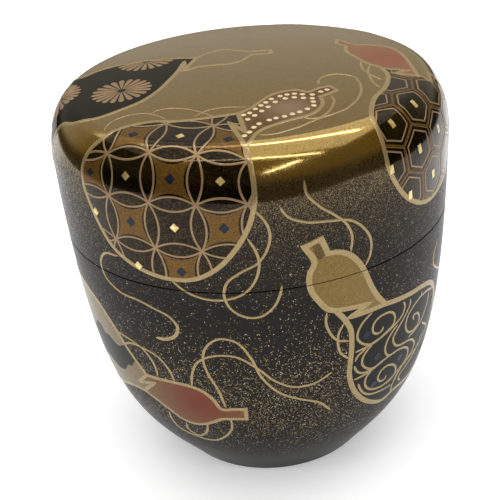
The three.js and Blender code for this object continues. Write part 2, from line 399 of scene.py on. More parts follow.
# %% Polished black
lampblack_tones, lampblack_drift = [(0.3, "#0c0907"), (0.7, "#130e0a")], 16.67
black_coat, black_rough = 0.4, 0.25


def black_lacquer():
    """Polished black lacquer: a deep mirror over a black that is never quite even."""
    finish, tree, shader = coated("black_roiro_lacquer", black_coat)
    place = node(tree, "ShaderNodeTexCoord").outputs["Object"]
    cloud = node(tree, "ShaderNodeTexNoise",
                 {"Vector": place, "Scale": 1 / (lampblack_drift * MM), "Detail": 3.0})
    tone = node(tree, "ShaderNodeValToRGB", {"Fac": cloud.outputs["Fac"]}, lampblack_tones)
    tree.links.new(tone.outputs[0], shader.inputs["Base Color"])
    shader.inputs["Roughness"].default_value = black_rough
    return finish


inside_finish = black_lacquer()
print("finish:", inside_finish.name)

# %% [markdown]
# ## Pot and lid
# The sections below go once round the wood: for the lid down its outside, round the lip and
# up inside, for the pot from the floor of the bowl over the rim and down to the foot. The
# inside isn't in the photograph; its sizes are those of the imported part.

# %% Sizes inside
lid_wall, lid_top, inner_round = 1.8, 3.2, 7.0
rim_wall, rim_play, rim_bevel = 1.3, 0.2, 0.4
floor_level, foot_ring, foot_hollow, foot_round = 5.0, 2.5, 0.8, 0.3
lip_round = 0.14
lid_section_points, pot_section_points = 70, 90
cove_points, bowl_points, round_points, rim_start = 20, 12, 6, 1.0
mouth = seam_radius - lid_wall
rim_outer = mouth - rim_play
rim_inner = rim_outer - rim_wall
wood_wall = seam_radius - rim_inner
bowl_turn = 0.75
print(f"mouth {mouth:.1f}, rim {rim_inner:.1f} to {rim_outer:.1f} mm from the axis")


# %% The lid's section
def eased(before, corner, after, size):
    """A corner of a section, rounded to a size."""
    before, corner, after = map(np.array, (before, corner, after))
    a = corner + size * (before - corner) / np.linalg.norm(before - corner)
    c = corner + size * (after - corner) / np.linalg.norm(after - corner)
    t = np.linspace(0, 1, round_points)[:, None]
    return (1 - t) ** 2 * a + 2 * t * (1 - t) * corner + t**2 * c


def lid_section():
    """The lid's section, and the ring from which on it is inside."""
    outside = lid_line(lid_section_points)
    roof = height - lid_top
    angle = np.linspace(math.pi / 2, 0, cove_points)[:, None]
    cove = np.hstack([mouth - inner_round + inner_round * np.sin(angle),
                      roof - inner_round + inner_round * np.cos(angle)])
    lip, inner_lip = (seam_radius, lid_edge), (mouth, lid_edge)
    line = np.vstack([outside[:-1], eased(outside[-2], lip, inner_lip, lip_round),
                      eased(lip, inner_lip, cove[0], lip_round), cove, [[0, roof]]])
    return line, len(outside) + round_points // 2


lid_rings, lid_inside_from = lid_section()
print("lid section:", len(lid_rings), "rings")


# %% The pot's section
def bowl_line(side):
    """The bowl's wall one thickness in from the side, and the turn into its floor."""
    way = np.gradient(side, axis=0)
    way /= np.linalg.norm(way, axis=1)[:, None]
    wall = side + wood_wall * np.column_stack([way[:, 1], -way[:, 0]])
    last = int(bowl_turn * (len(side) - 1))
    reach = (floor_level - wall[last, 1]) / way[last, 1]
    corner = wall[last] + reach * way[last]
    t = np.linspace(0, 1, bowl_points)[:, None]
    end = np.array([corner[0] - reach, floor_level])
    turn = (1 - t) ** 2 * wall[last] + 2 * t * (1 - t) * corner + t**2 * end
    return np.vstack([wall[:last], turn])[::-1]


def pot_section():
    """The pot's section, and the first and last ring that are outside."""
    side = pot_line(pot_section_points)
    ledge, seat = (seam_radius, seam), (rim_outer, seam)
    bowl = bowl_line(side)
    foot, ring = (foot_radius, 0.0), (foot_radius - foot_ring, 0.0)
    hollow = (foot_radius - foot_ring - foot_hollow, foot_hollow)
    rim = [(rim_inner, seam + rim_start), (rim_inner, rim_top - rim_bevel)]
    start = np.vstack([[[0, floor_level]], bowl, rim,
                       eased(rim[-1], (rim_inner, rim_top), (rim_outer, rim_top), rim_bevel),
                       eased((rim_inner, rim_top), (rim_outer, rim_top), seat, rim_bevel), [seat],
                       eased(seat, ledge, side[1], lip_round)])
    end = np.vstack([side[1:-1], eased(side[-2], foot, ring, foot_round),
                     eased(foot, ring, hollow, foot_round),
                     eased(ring, hollow, (0, foot_hollow), foot_round), [[0, foot_hollow]]])
    return np.vstack([start, end]), len(start) - round_points // 2, len(start) + len(side)


pot_rings, pot_outside_from, pot_outside_to = pot_section()
print("pot section:", len(pot_rings), "rings")

# %% Turn both
finishes = [outside_finish, inside_finish]
lid_turning = turned("lid_body", lid_rings, finishes, lambda k: int(k >= lid_inside_from))
pot_turning = turned("pot_body", pot_rings, finishes,
                   lambda k: int(not pot_outside_from <= k <= pot_outside_to))
for piece, body in ((lid_turning, "lid"), (pot_turning, "pot")):
    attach(piece, body)
    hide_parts(body)
    print(piece.name, len(piece.data.polygons), "faces")

# %% [markdown]
# ## Painting
# The pictures are painted in gold over the black: every line stands up a little, as a soft
# ridge of gold powder on lacquer. So each line becomes a thin closed ridge that follows the
# surface, and each coloured field a thin closed plate. A picture laid over the shell would
# be less work, but it would be flat, and it would blur close up. Where a line runs is read
# off the photograph, at pixels that are cast through the camera onto the surface.
# What the photograph hides is placed by direction and distance down instead.

# %% From a pixel to a place
ray_near, ray_far, ray_steps, ray_halvings = 150.0, 250.0, 2000, 12


def over_surface(points):
    """How far outside the turned outline some points lie, at their own height."""
    r, z = np.hypot(points[..., 0], points[..., 1]), points[..., 2]
    wide = np.interp(-z, -outline[:, 1], outline[:, 0])
    return r - np.where((z > height) | (z < 0), -1.0, wide)


def seen(*pixels):
    """Places on the caddy behind pixels of the photograph."""
    x, y = np.array(pixels, float).T - image_size / 2
    ways = x[:, None] * camera_right - y[:, None] * camera_up - photo_focal * camera_back
    ways /= np.linalg.norm(ways, axis=1)[:, None]
    steps = np.linspace(ray_near, ray_far, ray_steps)
    gap = over_surface(camera_place + steps[None, :, None] * ways[:, None, :])
    first = np.where((gap < 0).any(axis=1), np.argmax(gap < 0, axis=1), np.argmin(gap, axis=1))
    low, high = steps[np.maximum(first - 1, 0)], steps[first]
    for _ in range(ray_halvings):
        middle = (low + high) / 2
        out = over_surface(camera_place + middle[:, None] * ways) > 0
        low, high = np.where(out, middle, low), np.where(out, high, middle)
    return surface(*locate(camera_place + high[:, None] * ways))


def placed(*places):
    """Places given by direction in degrees and millimetres down."""
    return surface(*np.array(places, float).T)


def partly_hidden(first_pixels, places, last_pixels):
    """A run that the photograph shows at both ends and hides in between."""
    return np.vstack([seen(*first_pixels), placed(*places), seen(*last_pixels)])


print("the picture's middle shows", [round(float(v[0]), 1) for v in locate(seen([image_size / 2] * 2))])

# %% [markdown]
# ### Lines
# A line is made of smooth runs that meet at corners. A Bezier curve would need handles,
# which no photograph shows, so each run goes through its points and finds its own way
# between them. Points are set along it a quarter of a millimetre apart and pressed back
# onto the surface.

# %% Smooth runs and corners
point_step = 0.25
straight_points, bend_points, tiny = 40, 24, 1e-9


def curve(points, closed=False):
    """A smooth line through points on the surface, as many points."""
    points = np.atleast_2d(points)
    if len(points) == 2 and not closed:
        dense = points[0] + np.linspace(0, 1, straight_points)[:, None] * (points[1] - points[0])
    else:
        ends = (points[-1:], points[:2]) if closed else (2 * points[:1] - points[1:2],
                                                         2 * points[-1:] - points[-2:-1])
        knots = np.vstack([ends[0], points, ends[1]])
        t = np.linspace(0, 1, bend_points, endpoint=False)[:, None]
        parts = []
        for i in range(1, len(knots) - 2):
            a, b, c, d = knots[i - 1:i + 3]
            start, end = chordal_way(a, b, c), -chordal_way(d, c, b)
            parts.append((2 * t**3 - 3 * t**2 + 1) * b + (t**3 - 2 * t**2 + t) * start
                         + (3 * t**2 - 2 * t**3) * c + (t**3 - t**2) * end)
        dense = np.vstack(parts + [knots[-2:-1]])
    along = np.concatenate([[0], np.cumsum(np.linalg.norm(np.diff(dense, axis=0), axis=1))])
    count = max(2, round(along[-1] / point_step) + 1)
    even_steps = np.linspace(0, along[-1], count)
    even = np.column_stack([np.interp(even_steps, along, dense[:, i]) for i in range(3)])
    return surface(*locate(even))


def chordal_way(a, b, c):
    """The way of a smooth line at b, for the stretch from b to c."""
    before, after = (max(np.linalg.norm(v), tiny) for v in (b - a, c - b))
    return ((b - a) / before * after + (c - b) / after * before) / (before + after) * after


def joined(*runs):
    """Runs end to end, with a corner wherever two of them meet."""
    lines = [curve(run) for run in runs]
    return np.vstack([line[:-1] for line in lines[:-1]] + [lines[-1]])


def ring(*runs):
    """A closed outline of runs, each of which ends where the next begins."""
    firsts = [run[:1] for run in runs[1:]] + [runs[0][:1]]
    return joined(*[np.vstack([run, first]) for run, first in zip(runs, firsts)])[:-1]


print("points on a centimetre of line:", len(curve(placed((0, 40), (0, 50)))))

# %% [markdown]
# ### Ridges and plates
# A ridge has a flat back with rounded edges, as a gold line has once it is rubbed down, and
# tapers at its ends, as a brush line does. A curve object with a bevel would be shorter to
# write, but it wouldn't follow the lacquer's bend. A plate is cut out in a flat chart of the
# caddy, as if its skin was spread out round the middle of the lid, split into small
# triangles and bent back onto the surface. Both have undersides a little below the
# surface, so nothing floats.

# %% Ridges
under_side = 0.05
ridge_section = [(-1.0, 0.1), (-0.75, 0.85), (-0.4, 1.0), (0.4, 1.0), (0.75, 0.85), (1.0, 0.1)]
taper_length, tip_start, tip_share = 0.9, 0.02, 0.1
sharpest_mitre, least_rise = 0.45, 0.3


class Paint:
    """Corners, faces and finish numbers of one painted piece."""

    def __init__(self):
        self.points, self.faces, self.numbers, self.count = [], [], [], 0

    def add(self, points, faces, numbers):
        """Takes in one closed form, whose faces count its own corners from 0."""
        self.points.append(points)
        self.faces.extend([tuple(int(i) + self.count for i in face) for face in faces])
        self.numbers.extend(numbers)
        self.count += len(points)


def ridge(paint, line, width, thick, closed=False, number=0, taper=taper_length):
    """Adds one line. The width is a number or a list of widths spread evenly along it."""
    if len(line) < 3:
        return
    step = np.linalg.norm(np.diff(line, axis=0), axis=1)
    along = np.concatenate([[0], np.cumsum(step)])
    widths = np.atleast_1d(width)
    half = np.interp(along / along[-1], np.linspace(0, 1, len(widths)), widths) / 2
    if closed:
        before, after = line - np.roll(line, 1, axis=0), np.roll(line, -1, axis=0) - line
    else:
        before = np.vstack([line[1] - line[0], line[1:] - line[:-1]])
        after = np.vstack([line[1:] - line[:-1], line[-1] - line[-2]])
        if taper:
            end = np.minimum(along, along[-1] - along)
            half = half * np.clip(np.sqrt((end + tip_start) / taper), tip_share, 1)
    before, after = (v / np.maximum(np.linalg.norm(v, axis=1), tiny)[:, None] for v in (before, after))
    way = before + after
    way /= np.maximum(np.linalg.norm(way, axis=1), tiny)[:, None]
    mitre = 1 / np.clip((way * after).sum(1), sharpest_mitre, 1)
    angle, down = locate(line)
    normal = surface(angle, down, 1.0) - surface(angle, down)
    side = np.cross(normal, way)
    side /= np.linalg.norm(side, axis=1)[:, None]
    columns = []
    for across, lift in ridge_section + [(1.0, None), (-1.0, None)]:
        spot = locate(line + side * (across * half * mitre)[:, None])
        thinned = thick * np.minimum(1, half / half.max() + least_rise)
        rise = -under_side if lift is None else lift * thinned
        columns.append(surface(*spot, rise))
    around, stations = len(columns), len(line)
    points = np.stack(columns, 1).reshape(-1, 3)
    faces = []
    for i in range(stations if closed else stations - 1):
        a, b = i * around, (i + 1) % stations * around
        for k in range(around):
            n = (k + 1) % around
            faces.append((a + k, a + n, b + n, b + k))
    if not closed:
        faces.append(tuple(range(around))[::-1])
        faces.append(tuple((stations - 1) * around + k for k in range(around)))
    paint.add(points, faces, [number] * len(faces))


print("a ridge has", len(ridge_section) + 2, "corners round it")

# %% Plates
plate_grid, same_corner = 0.5, 1e-5


def chart(points):
    """Points on the surface in the flat chart."""
    angle, down = locate(points)
    angle = np.radians(angle)
    return np.column_stack([down * np.sin(angle), -down * np.cos(angle)])


def from_chart(spots, lift=0.0):
    """Points on the surface from spots in the flat chart."""
    angle = np.degrees(np.arctan2(spots[:, 0], -spots[:, 1]))
    return surface(angle, np.hypot(spots[:, 0], spots[:, 1]), lift)


def within(spots, border):
    """Which spots lie inside a closed border, both in the flat chart."""
    inside = np.zeros(len(spots), bool)
    for (x0, y0), (x1, y1) in zip(border, np.roll(border, -1, axis=0)):
        crosses = (y0 > spots[:, 1]) != (y1 > spots[:, 1])
        x = x0 + (spots[:, 1] - y0) * (x1 - x0) / np.where(y1 == y0, tiny, y1 - y0)
        inside ^= crosses & (spots[:, 0] < x)
    return inside


def facing_out(border):
    """The border with its inside on the left."""
    x, y = border.T
    area = (x * np.roll(y, -1) - np.roll(x, -1) * y).sum()
    return border if area > 0 else border[::-1]


def plate(paint, border, thick, fields=(), number=0):
    """Adds a closed plate inside a border. Fields are (border, number) cut out of it."""
    borders = [facing_out(chart(border))] + [facing_out(chart(field)) for field, _ in fields]
    low, high = borders[0].min(axis=0), borders[0].max(axis=0)
    rows = [np.arange(a, b, plate_grid) for a, b in zip(low, high)]
    grid = np.stack(np.meshgrid(*rows), -1).reshape(-1, 2)
    spots = [tuple(p) for part in [*borders, grid[within(grid, borders[0])]] for p in part]
    firsts = np.cumsum([0] + [len(part) for part in borders])
    wanted = [list(range(a, b)) for a, b in zip(firsts[:-1], firsts[1:])]
    found = delaunay_2d_cdt([Vector(p) for p in spots], [], wanted, 1, same_corner)
    corners, triangles, sources = np.array([tuple(p) for p in found[0]]), found[2], found[5]
    numbers = {i + 1: field[1] for i, field in enumerate(fields)}
    kept, kept_numbers = [], []
    for triangle, source in zip(triangles, sources):
        if 0 not in source:
            continue
        marks = [numbers[i] for i in source if i]
        kept.append(tuple(triangle))
        kept_numbers.append(marks[-1] if marks else number)
    used = sorted({i for face in kept for i in face})
    renumber = {old: new for new, old in enumerate(used)}
    kept = [tuple(renumber[i] for i in face) for face in kept]
    corners = corners[used]
    count = len(corners)
    points = np.vstack([from_chart(corners, thick), from_chart(corners, -under_side)])
    owner = {}
    for face, mark in zip(kept, kept_numbers):
        for a, b in zip(face, face[1:] + face[:1]):
            owner[(a, b)] = mark
    walls = [(edge, mark) for edge, mark in owner.items() if edge[::-1] not in owner]
    faces = kept + [tuple(i + count for i in face[::-1]) for face in kept]
    faces += [(b, a, a + count, b + count) for (a, b), _ in walls]
    paint.add(points, faces, kept_numbers * 2 + [mark for _, mark in walls])


print("a plate's corners lie", plate_grid, "mm apart")

# %% [markdown]
# ### Pieces of paint
# A painted piece rides on the lid or on the pot. Several lines run over the seam; those are
# cut there, so the picture parts when the lid is lifted, as on the real caddy. A boolean
# would cut them too, but a plane through the mesh is quicker and closes cleanly.

# %% Build painted pieces
seam_middle, lip_clear = seam + seat_gap / 2, 0.07
sharp_angle = math.radians(35)


def cut_at_seam(mesh, keep_above):
    """Keeps the part of a painted mesh on one side of the seam."""
    work = bmesh.new()
    work.from_mesh(mesh)
    level = (seam_middle + (lip_clear if keep_above else -lip_clear)) * MM
    bmesh.ops.bisect_plane(work, geom=list(work.verts) + list(work.edges) + list(work.faces),
                           plane_co=(0, 0, level), plane_no=(0, 0, 1),
                           clear_inner=keep_above, clear_outer=not keep_above)
    open_edges = [edge for edge in work.edges if edge.is_boundary]
    bmesh.ops.holes_fill(work, edges=open_edges, sides=0)
    work.to_mesh(mesh)
    work.free()


def painted(name, paint, finishes):
    """Objects of a painted piece: one on each body that it touches."""
    points = np.vstack(paint.points)
    high, low = points[:, 2].max() > seam_middle, points[:, 2].min() < seam_middle
    made = []
    for body, there in (("lid", high), ("pot", low)):
        if not there:
            continue
        full_name = f"{name}_on_{body}" if high and low else name
        mesh = bpy.data.meshes.new(full_name)
        mesh.from_pydata((points * MM).tolist(), [], paint.faces)
        mesh.polygons.foreach_set("material_index", paint.numbers)
        mesh.polygons.foreach_set("use_smooth", [True] * len(paint.faces))
        for finish in finishes:
            mesh.materials.append(finish)
        if high and low:
            cut_at_seam(mesh, body == "lid")
        mesh.set_sharp_from_angle(angle=sharp_angle)
        piece = bpy.data.objects.new(full_name, mesh)
        bpy.context.scene.collection.objects.link(piece)
        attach(piece, body)
        made.append(piece)
    print(name, "->", [f"{p.name}: {len(p.data.polygons)} faces" for p in made])


print(f"the paint is parted {lip_clear} mm to each side of {seam_middle:.2f} mm")

# %% [markdown]
# ### Finishes of the painting
# The lines are gold powder rubbed to a satin shine. Fields are brown-gold where powder was
# sprinkled over brown lacquer, red where cinnabar lacquer shows, or black. One function
# makes them all, because they are one craft: powder of a few tones in lacquer. Its grains
# are 0.09 mm cells, again as coarse as they need to be to show.

# %% Powder in lacquer
field_grain, field_seed, heart_strength = 0.09, 0.013, 0.9


def powdered(name, tones, metal, rough=0.4, clear_coat=0.45, heart=None):
    """Lacquer closely sprinkled with powder of several tones. A heart is a place, a reach in
    millimetres and a colour that the lacquer takes on towards that place."""
    finish, tree, shader = coated(name, clear_coat)
    _, chance = grains(tree, field_grain, field_seed)
    colour = node(tree, "ShaderNodeValToRGB", {"Fac": chance["Red"]}, tones).outputs[0]
    if heart:
        middle, reach, heart_tone = heart
        place = node(tree, "ShaderNodeTexCoord").outputs["Object"]
        far = node(tree, "ShaderNodeVectorMath", {0: place, 1: [float(v) * MM for v in middle]},
                   operation="DISTANCE").outputs["Value"]
        near = node(tree, "ShaderNodeMapRange",
                    {"Value": far, "From Max": reach * MM, "To Min": heart_strength, "To Max": 0.0},
                    interpolation_type="SMOOTHSTEP").outputs[0]
        colour = node(tree, "ShaderNodeMix", {"Factor": near, "A": colour, "B": linear(heart_tone)},
                      data_type="RGBA").outputs["Result"]
    tree.links.new(colour, shader.inputs["Base Color"])
    shader.inputs["Metallic"].default_value = metal
    shader.inputs["Roughness"].default_value = rough
    return finish


print("grains to a millimetre in a painted field:", round(1 / field_grain))

# %% Painted finishes
# Fine gold powder laid on wet lacquer and rubbed down: a satin line with a soft flash.
line_gold = powdered("burnished_gold_powder",
                     [(0.0, "#907a54"), (0.5, "#a08a60"), (1.0, "#b09a6e")],
                     metal=0.5, rough=0.2, clear_coat=0.35)
# Powder so close that it reads as one matt gold sheet, and the darker one in a stem.
bulb_gold = powdered("gold_powder_in_lacquer",
                     [(0.0, "#664e20"), (0.5, "#765c28"), (1.0, "#887038")], metal=0.7)
dark_gold = powdered("gold_powder_on_olive",
                     [(0.0, "#45330f"), (0.5, "#57431a"), (1.0, "#6c5628")], metal=0.6)
# Coarser dust over brown, tan and black lacquer, which shows between the grains.
brown_gold = powdered("gold_dust_on_brown",
                      [(0.0, "#4c3514"), (0.5, "#66491e"), (1.0, "#82612e")],
                      metal=0.5, rough=0.22, clear_coat=0.25)
tan_gold = powdered("gold_dust_on_tan",
                    [(0.0, "#5f4e32"), (0.5, "#75623f"), (1.0, "#8a764e")], metal=0.5)
sparse_gold = powdered("gold_dust_on_black",
                       [(0.0, "#0a0705"), (0.7, "#110d09"), (0.82, "#382d1b"), (1.0, "#695330")],
                       metal=0.85, rough=0.13, clear_coat=0.25)
# Pale gold and silver mixed, in the dots, and warmer fine gold in petals and thin patterns.
cream_gold = powdered("pale_gold_dots",
                      [(0.0, "#cdb68a"), (1.0, "#e2d0a6")], metal=0.3, clear_coat=0.3)
petal_gold = powdered("fine_gold_petals",
                      [(0.0, "#8c7356"), (1.0, "#a08664")], metal=0.6, clear_coat=0.3)
plain_black = black_lacquer()
print("finishes so far:", len(bpy.data.materials))

# %% Widths and thicknesses of the paint
outline_width, bulb_line_width, tendril_width, fine_width = 0.85, 0.7, 0.43, 0.27
line_thick, pattern_thick, arc_thick, fine_thick, field_thick = 0.065, 0.06, 0.05, 0.04, 0.03
print("gold lines stand", fine_thick, "to", line_thick, "mm high")

# %% [markdown]
# ### Tendrils
# Thin loops run from gourd to gourd over the whole caddy, each laid in one stroke of the
# brush. The finest lie on the gold of the lid, where they hardly show, and one low on the
# left ends in a hook and swells towards it.

# %% Tendrils read from the photograph
tendril_pixels = [
    [(172, 281), (185, 291), (205, 299), (225, 300), (245, 293), (257, 277), (259, 262), (255, 250),
     (247, 238)],
    [(254, 210), (264, 220), (270, 235), (267, 250), (258, 263), (240, 273), (227, 283), (224, 295),
     (230, 308), (245, 317), (260, 317), (273, 308), (281, 292), (282, 285)],
    [(304, 180), (306, 192), (318, 205), (335, 215), (345, 222), (352, 235), (351, 252)],
    [(279, 206), (287, 216), (305, 222), (330, 221), (350, 220), (363, 227), (371, 240), (370, 255),
     (365, 266)],
    [(192, 386), (192, 375), (198, 362), (215, 356), (235, 357), (258, 369), (275, 381), (295, 387),
     (315, 383), (332, 372)],
    [(226, 408), (218, 390), (207, 372), (203, 360), (207, 346), (220, 339), (235, 342), (250, 357),
     (262, 378), (280, 393), (300, 399), (318, 402), (331, 410)],
    [(118, 331), (134, 342), (143, 349), (151, 359), (157, 372), (158, 376)],
    [(123, 344), (131, 343), (143, 348), (158, 357), (169, 370), (175, 382)],
    [(186, 422), (190, 430), (199, 435), (206, 433), (208, 423)],
    [(169, 411), (173, 420), (181, 428), (193, 434), (214, 440), (226, 436), (232, 428), (231, 419)],
    [(327, 312), (326, 322), (330, 333), (337, 340), (350, 341)],
    [(344, 323), (339, 333), (338, 342), (340, 352), (349, 359)],
    [(319, 85), (319, 80), (325, 76), (337, 74), (352, 76), (360, 84), (361, 92), (355, 102),
     (346, 109), (333, 114), (323, 117), (313, 121), (301, 126), (289, 130), (274, 134), (258, 135)],
    [(331, 95), (334, 100), (333, 105), (327, 113), (317, 118), (306, 118), (301, 116)],
    [(361, 61), (362, 68), (371, 75), (383, 80)],
    [(370, 65), (368, 71), (370, 77), (375, 84), (381, 88)],
    [(437, 240), (434, 252), (433, 262), (436, 267), (441, 266)],
]
fine_tendril_pixels = [
    [(104, 132), (106, 127), (113, 121), (124, 116.5), (145, 113.5), (158, 116), (167, 120)],
    [(150, 114.5), (157, 110.5), (171, 108.3), (185, 108.8), (197, 111), (208, 114.5), (218, 118)],
    [(193, 117.5), (200, 113.5), (207, 110.5), (217, 108.3), (227, 107.2), (247, 107.2)],
]
hooked_pixels = [
    (118, 256), (105, 253), (101, 262), (105, 275), (118, 290), (140, 301), (155, 309), (170, 317.5),
    (177.5, 327.5), (176, 335), (167.5, 339), (156, 337.5)
]
hooked_widths = [0.45, 0.45, 0.45, 0.42, 0.42, 0.6, 0.75]
tendrils = Paint()
for pixels in tendril_pixels:
    ridge(tendrils, curve(seen(*pixels)), tendril_width, line_thick)
for pixels in fine_tendril_pixels:
    ridge(tendrils, curve(seen(*pixels)), fine_width, fine_thick)
ridge(tendrils, curve(seen(*hooked_pixels)), hooked_widths, line_thick)
painted("tendrils", tendrils, [line_gold])

# %% [markdown]
# ### Gourds
# Each gourd has a large body and a small bulb, parted by a jagged line like a torn edge.
# Its borders are built from the runs between the teeth of that edge. Its pattern could be
# drawn on each gourd by itself, but a flat stencil that is bent onto the surface keeps the
# cells even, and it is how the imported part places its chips.

# %% Borders of a gourd
def gourd_borders(body, bulb, teeth):
    """Closed borders of body and bulb, and the bulb's open outline. The teeth are four
    points; the body starts after the first of them, and the bulb's runs after the last."""
    a, b, c, d = (teeth[i:i + 1] for i in range(4))
    body_border = ring(np.vstack([a, body]), d, c, b)
    runs = [np.vstack([d, bulb[0]]), *bulb[1:]]
    return body_border, ring(*runs, a, b, c), ring_line(*runs, a)


def ring_line(*runs):
    """The same runs as an open line."""
    return joined(*[np.vstack([run, after[:1]]) for run, after in zip(runs, runs[1:])])


def seen_gourd(body, bulb_pixels, teeth_pixels):
    """The borders of a gourd whose bulb and teeth the photograph shows."""
    return gourd_borders(body, [seen(*run) for run in bulb_pixels], seen(*teeth_pixels))


def outline_gourd(paint, body, bulb_line, body_width, bulb_width):
    """Adds the lines round the body and the bulb."""
    ridge(paint, body, body_width, line_thick, closed=True)
    ridge(paint, bulb_line, bulb_width, line_thick, taper=0)


print("an outline is", outline_width, "mm wide")


# %% Stencils and clipping
def on_stencil(gourd, spots):
    """Points on the surface from flat spots round a gourd's middle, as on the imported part."""
    lean = math.radians(gourd["lean"])
    x, y = np.atleast_2d(spots).T
    across, up = x * math.cos(lean) - y * math.sin(lean), x * math.sin(lean) + y * math.cos(lean)
    length = seam_down - gourd["over_seam"] - up
    radius_here = np.interp(length, outline_down, outline[:, 0])
    widening = np.interp(length, outline_down, outline_way[:, 0])
    wide = np.maximum(np.abs(widening), tiny)
    to_tip = radius_here / wide
    drop = (np.hypot(to_tip, across) - to_tip) * np.sign(widening)
    turned_by = np.degrees(np.arctan2(across, to_tip) / wide)
    return surface(gourd["direction"] + turned_by, length + drop)


def clipped(line, border):
    """The stretches of a line that lie inside a border."""
    inside = within(chart(line), chart(border))
    edges = np.flatnonzero(np.diff(np.concatenate([[0], inside.astype(int), [0]])))
    return [line[a:b] for a, b in zip(edges[::2], edges[1::2]) if b - a > 2]


def touching(fields, border):
    """The fields that reach inside a border."""
    return [field for field in fields if within(chart(field[0]), chart(border)).any()]


print("the chart's seam lies", round(float(np.linalg.norm(chart(placed((0, seam_down))))), 1), "mm out")

# %% Dots
probe_turn, probe_down, dot_corner = 0.5, 0.2, 36
dot_profile = [(1.0, 0.2), (0.6, 0.85)]


def tangents(point):
    """Unit steps across and down the surface at a point."""
    angle, down = locate(point)
    across = surface(angle + probe_turn, down)[0] - surface(angle - probe_turn, down)[0]
    downward = surface(angle, down + probe_down)[0] - surface(angle, down - probe_down)[0]
    return across / np.linalg.norm(across), downward / np.linalg.norm(downward)


def dot(paint, point, wide, tall, thick, number=0):
    """Adds a small dome."""
    across, downward = tangents(point)
    around = np.radians(np.arange(0, 360, dot_corner))
    rings = []
    for share, lift in [(1.0, -under_side)] + [(share, part * thick) for share, part in dot_profile]:
        reach = np.outer(np.cos(around), wide * across) + np.outer(np.sin(around), tall * downward)
        flat = point + share / 2 * reach
        rings.append(surface(*locate(flat), lift))
    points = np.vstack(rings + [surface(*locate(point), thick)])
    count = len(around)
    faces = [tuple(range(count))]
    for level in (0, count):
        for i in range(count):
            low, high = level + i, level + (i + 1) % count
            faces.append((low, low + count, high + count, high))
    faces += [(2 * count + i, 3 * count, 2 * count + (i + 1) % count) for i in range(count)]
    paint.add(points, faces, [number] * len(faces))


print("a dot has", 360 // dot_corner, "corners")

# %% [markdown]
# ### The gourd of seven treasures
# Its body is filled with shippo, rings that overlap, with brown and black fields in turn.
# The bulb is brown with rows of pale dots, like tie-dyed cloth. The painter's arcs are
# flatter than true rings, so each cell draws two of its sides, each as a pair of arcs that
# swell both ways, and its neighbours close the rest. The brown fields are cut into the
# ground plate a little inside the arcs, which leaves the dark edge that the painter leaves.

# %% Where the shippo gourd lies
shippo_gourd = {"direction": -22.3, "over_seam": 18.7, "lean": 1.0}
shippo_pitch, arc_swell, field_inset, arc_width = 7.6, 1.15, 0.5, 0.39
shippo_cells = range(-6, 7)
dot_width, dot_height, dot_thick = 0.95, 1.05, 0.08
arc_points, field_side_points = 30, 10
shippo_teeth_pixels = [(238, 113.5), (245, 131.5), (229.5, 123), (245, 147)]
shippo_body_pixels = [
    (207, 118), (180, 121), (150, 122), (125, 127), (105, 137), (90, 150), (83, 165), (84, 185),
    (91, 205), (100, 225), (112, 245), (130, 262), (150, 273), (172, 279), (195, 279), (215, 270),
    (235, 250), (247, 230), (254, 205), (253, 180), (249, 160)
]
shippo_bulb_pixels = [
    [(250, 141.5), (255, 134.5), (261, 130), (270, 126), (286, 121), (297, 118), (310, 114.5),
     (318, 110), (322.5, 103.5), (321, 98)],
    [(320, 96.5), (330, 93)],
    [(337, 90)],
    [(329.5, 86), (319, 88), (308, 92), (297, 90), (286, 91), (274, 94), (260, 102), (249, 109)],
]
shippo_dot_pixels = [
    (243.7, 115), (249.7, 113), (255.3, 109), (260.9, 105.5), (265.8, 102.5), (271.3, 99), (280, 96.2),
    (287, 94.6), (294.4, 93.8), (302.4, 94.3), (312.3, 94.6), (320.7, 91.7), (327, 89.7),
    (247.7, 119.4), (254.7, 115.5), (261.7, 111.1), (268.1, 106.9), (275.2, 102.1), (285.2, 98.5),
    (294.2, 97.4), (303.5, 98), (312.3, 98.3), (313.4, 101.7), (313.9, 105.5), (244.5, 135.8),
    (249.6, 132.2), (253.9, 127.4), (259.1, 123.8), (269.3, 120.1), (276, 118.1), (284.6, 116.4),
    (292.4, 114), (299.8, 111.9), (307.5, 108.9)
]
print("rows of dots read off the photograph:", len(shippo_dot_pixels), "dots")


# %% Rings that overlap
def bowed(a, b, swell, count):
    """A flat arc from a to b that swells to the left of the way."""
    a, b = np.array(a, float), np.array(b, float)
    t = np.linspace(-1, 1, count)[:, None]
    left = np.array([a[1] - b[1], b[0] - a[0]]) / np.linalg.norm(b - a)
    return (a + b) / 2 + t * (b - a) / 2 + (1 - t**2) * swell * left


def pinched_square(middle):
    """The field between four arcs, a little smaller than the lines leave it."""
    reach = shippo_pitch / 2 - field_inset
    turns = ((-1, -1), (1, -1), (1, 1), (-1, 1))
    corners = [(middle[0] + x * reach, middle[1] + y * reach) for x, y in turns]
    sides = zip(corners, corners[1:] + corners[:1])
    return np.vstack([bowed(a, b, arc_swell, field_side_points)[:-1] for a, b in sides])


body, bulb, bulb_line = seen_gourd(seen(*shippo_body_pixels), shippo_bulb_pixels, shippo_teeth_pixels)
fields, arcs, half = [], Paint(), shippo_pitch / 2
for i in shippo_cells:
    for j in shippo_cells:
        x, y = i * shippo_pitch, j * shippo_pitch
        if (i + j) % 2 == 0:
            fields.append((on_stencil(shippo_gourd, pinched_square((x, y))), 1))
        for end in ((x + half, y - half), (x - half, y + half)):
            for swell in (-arc_swell, arc_swell):
                arc = on_stencil(shippo_gourd, bowed((x - half, y - half), end, swell, arc_points))
                for stretch in clipped(arc, body):
                    ridge(arcs, stretch, arc_width, arc_thick, taper=0)
brown_fields = touching(fields, body)
print("brown fields in the body:", len(brown_fields))

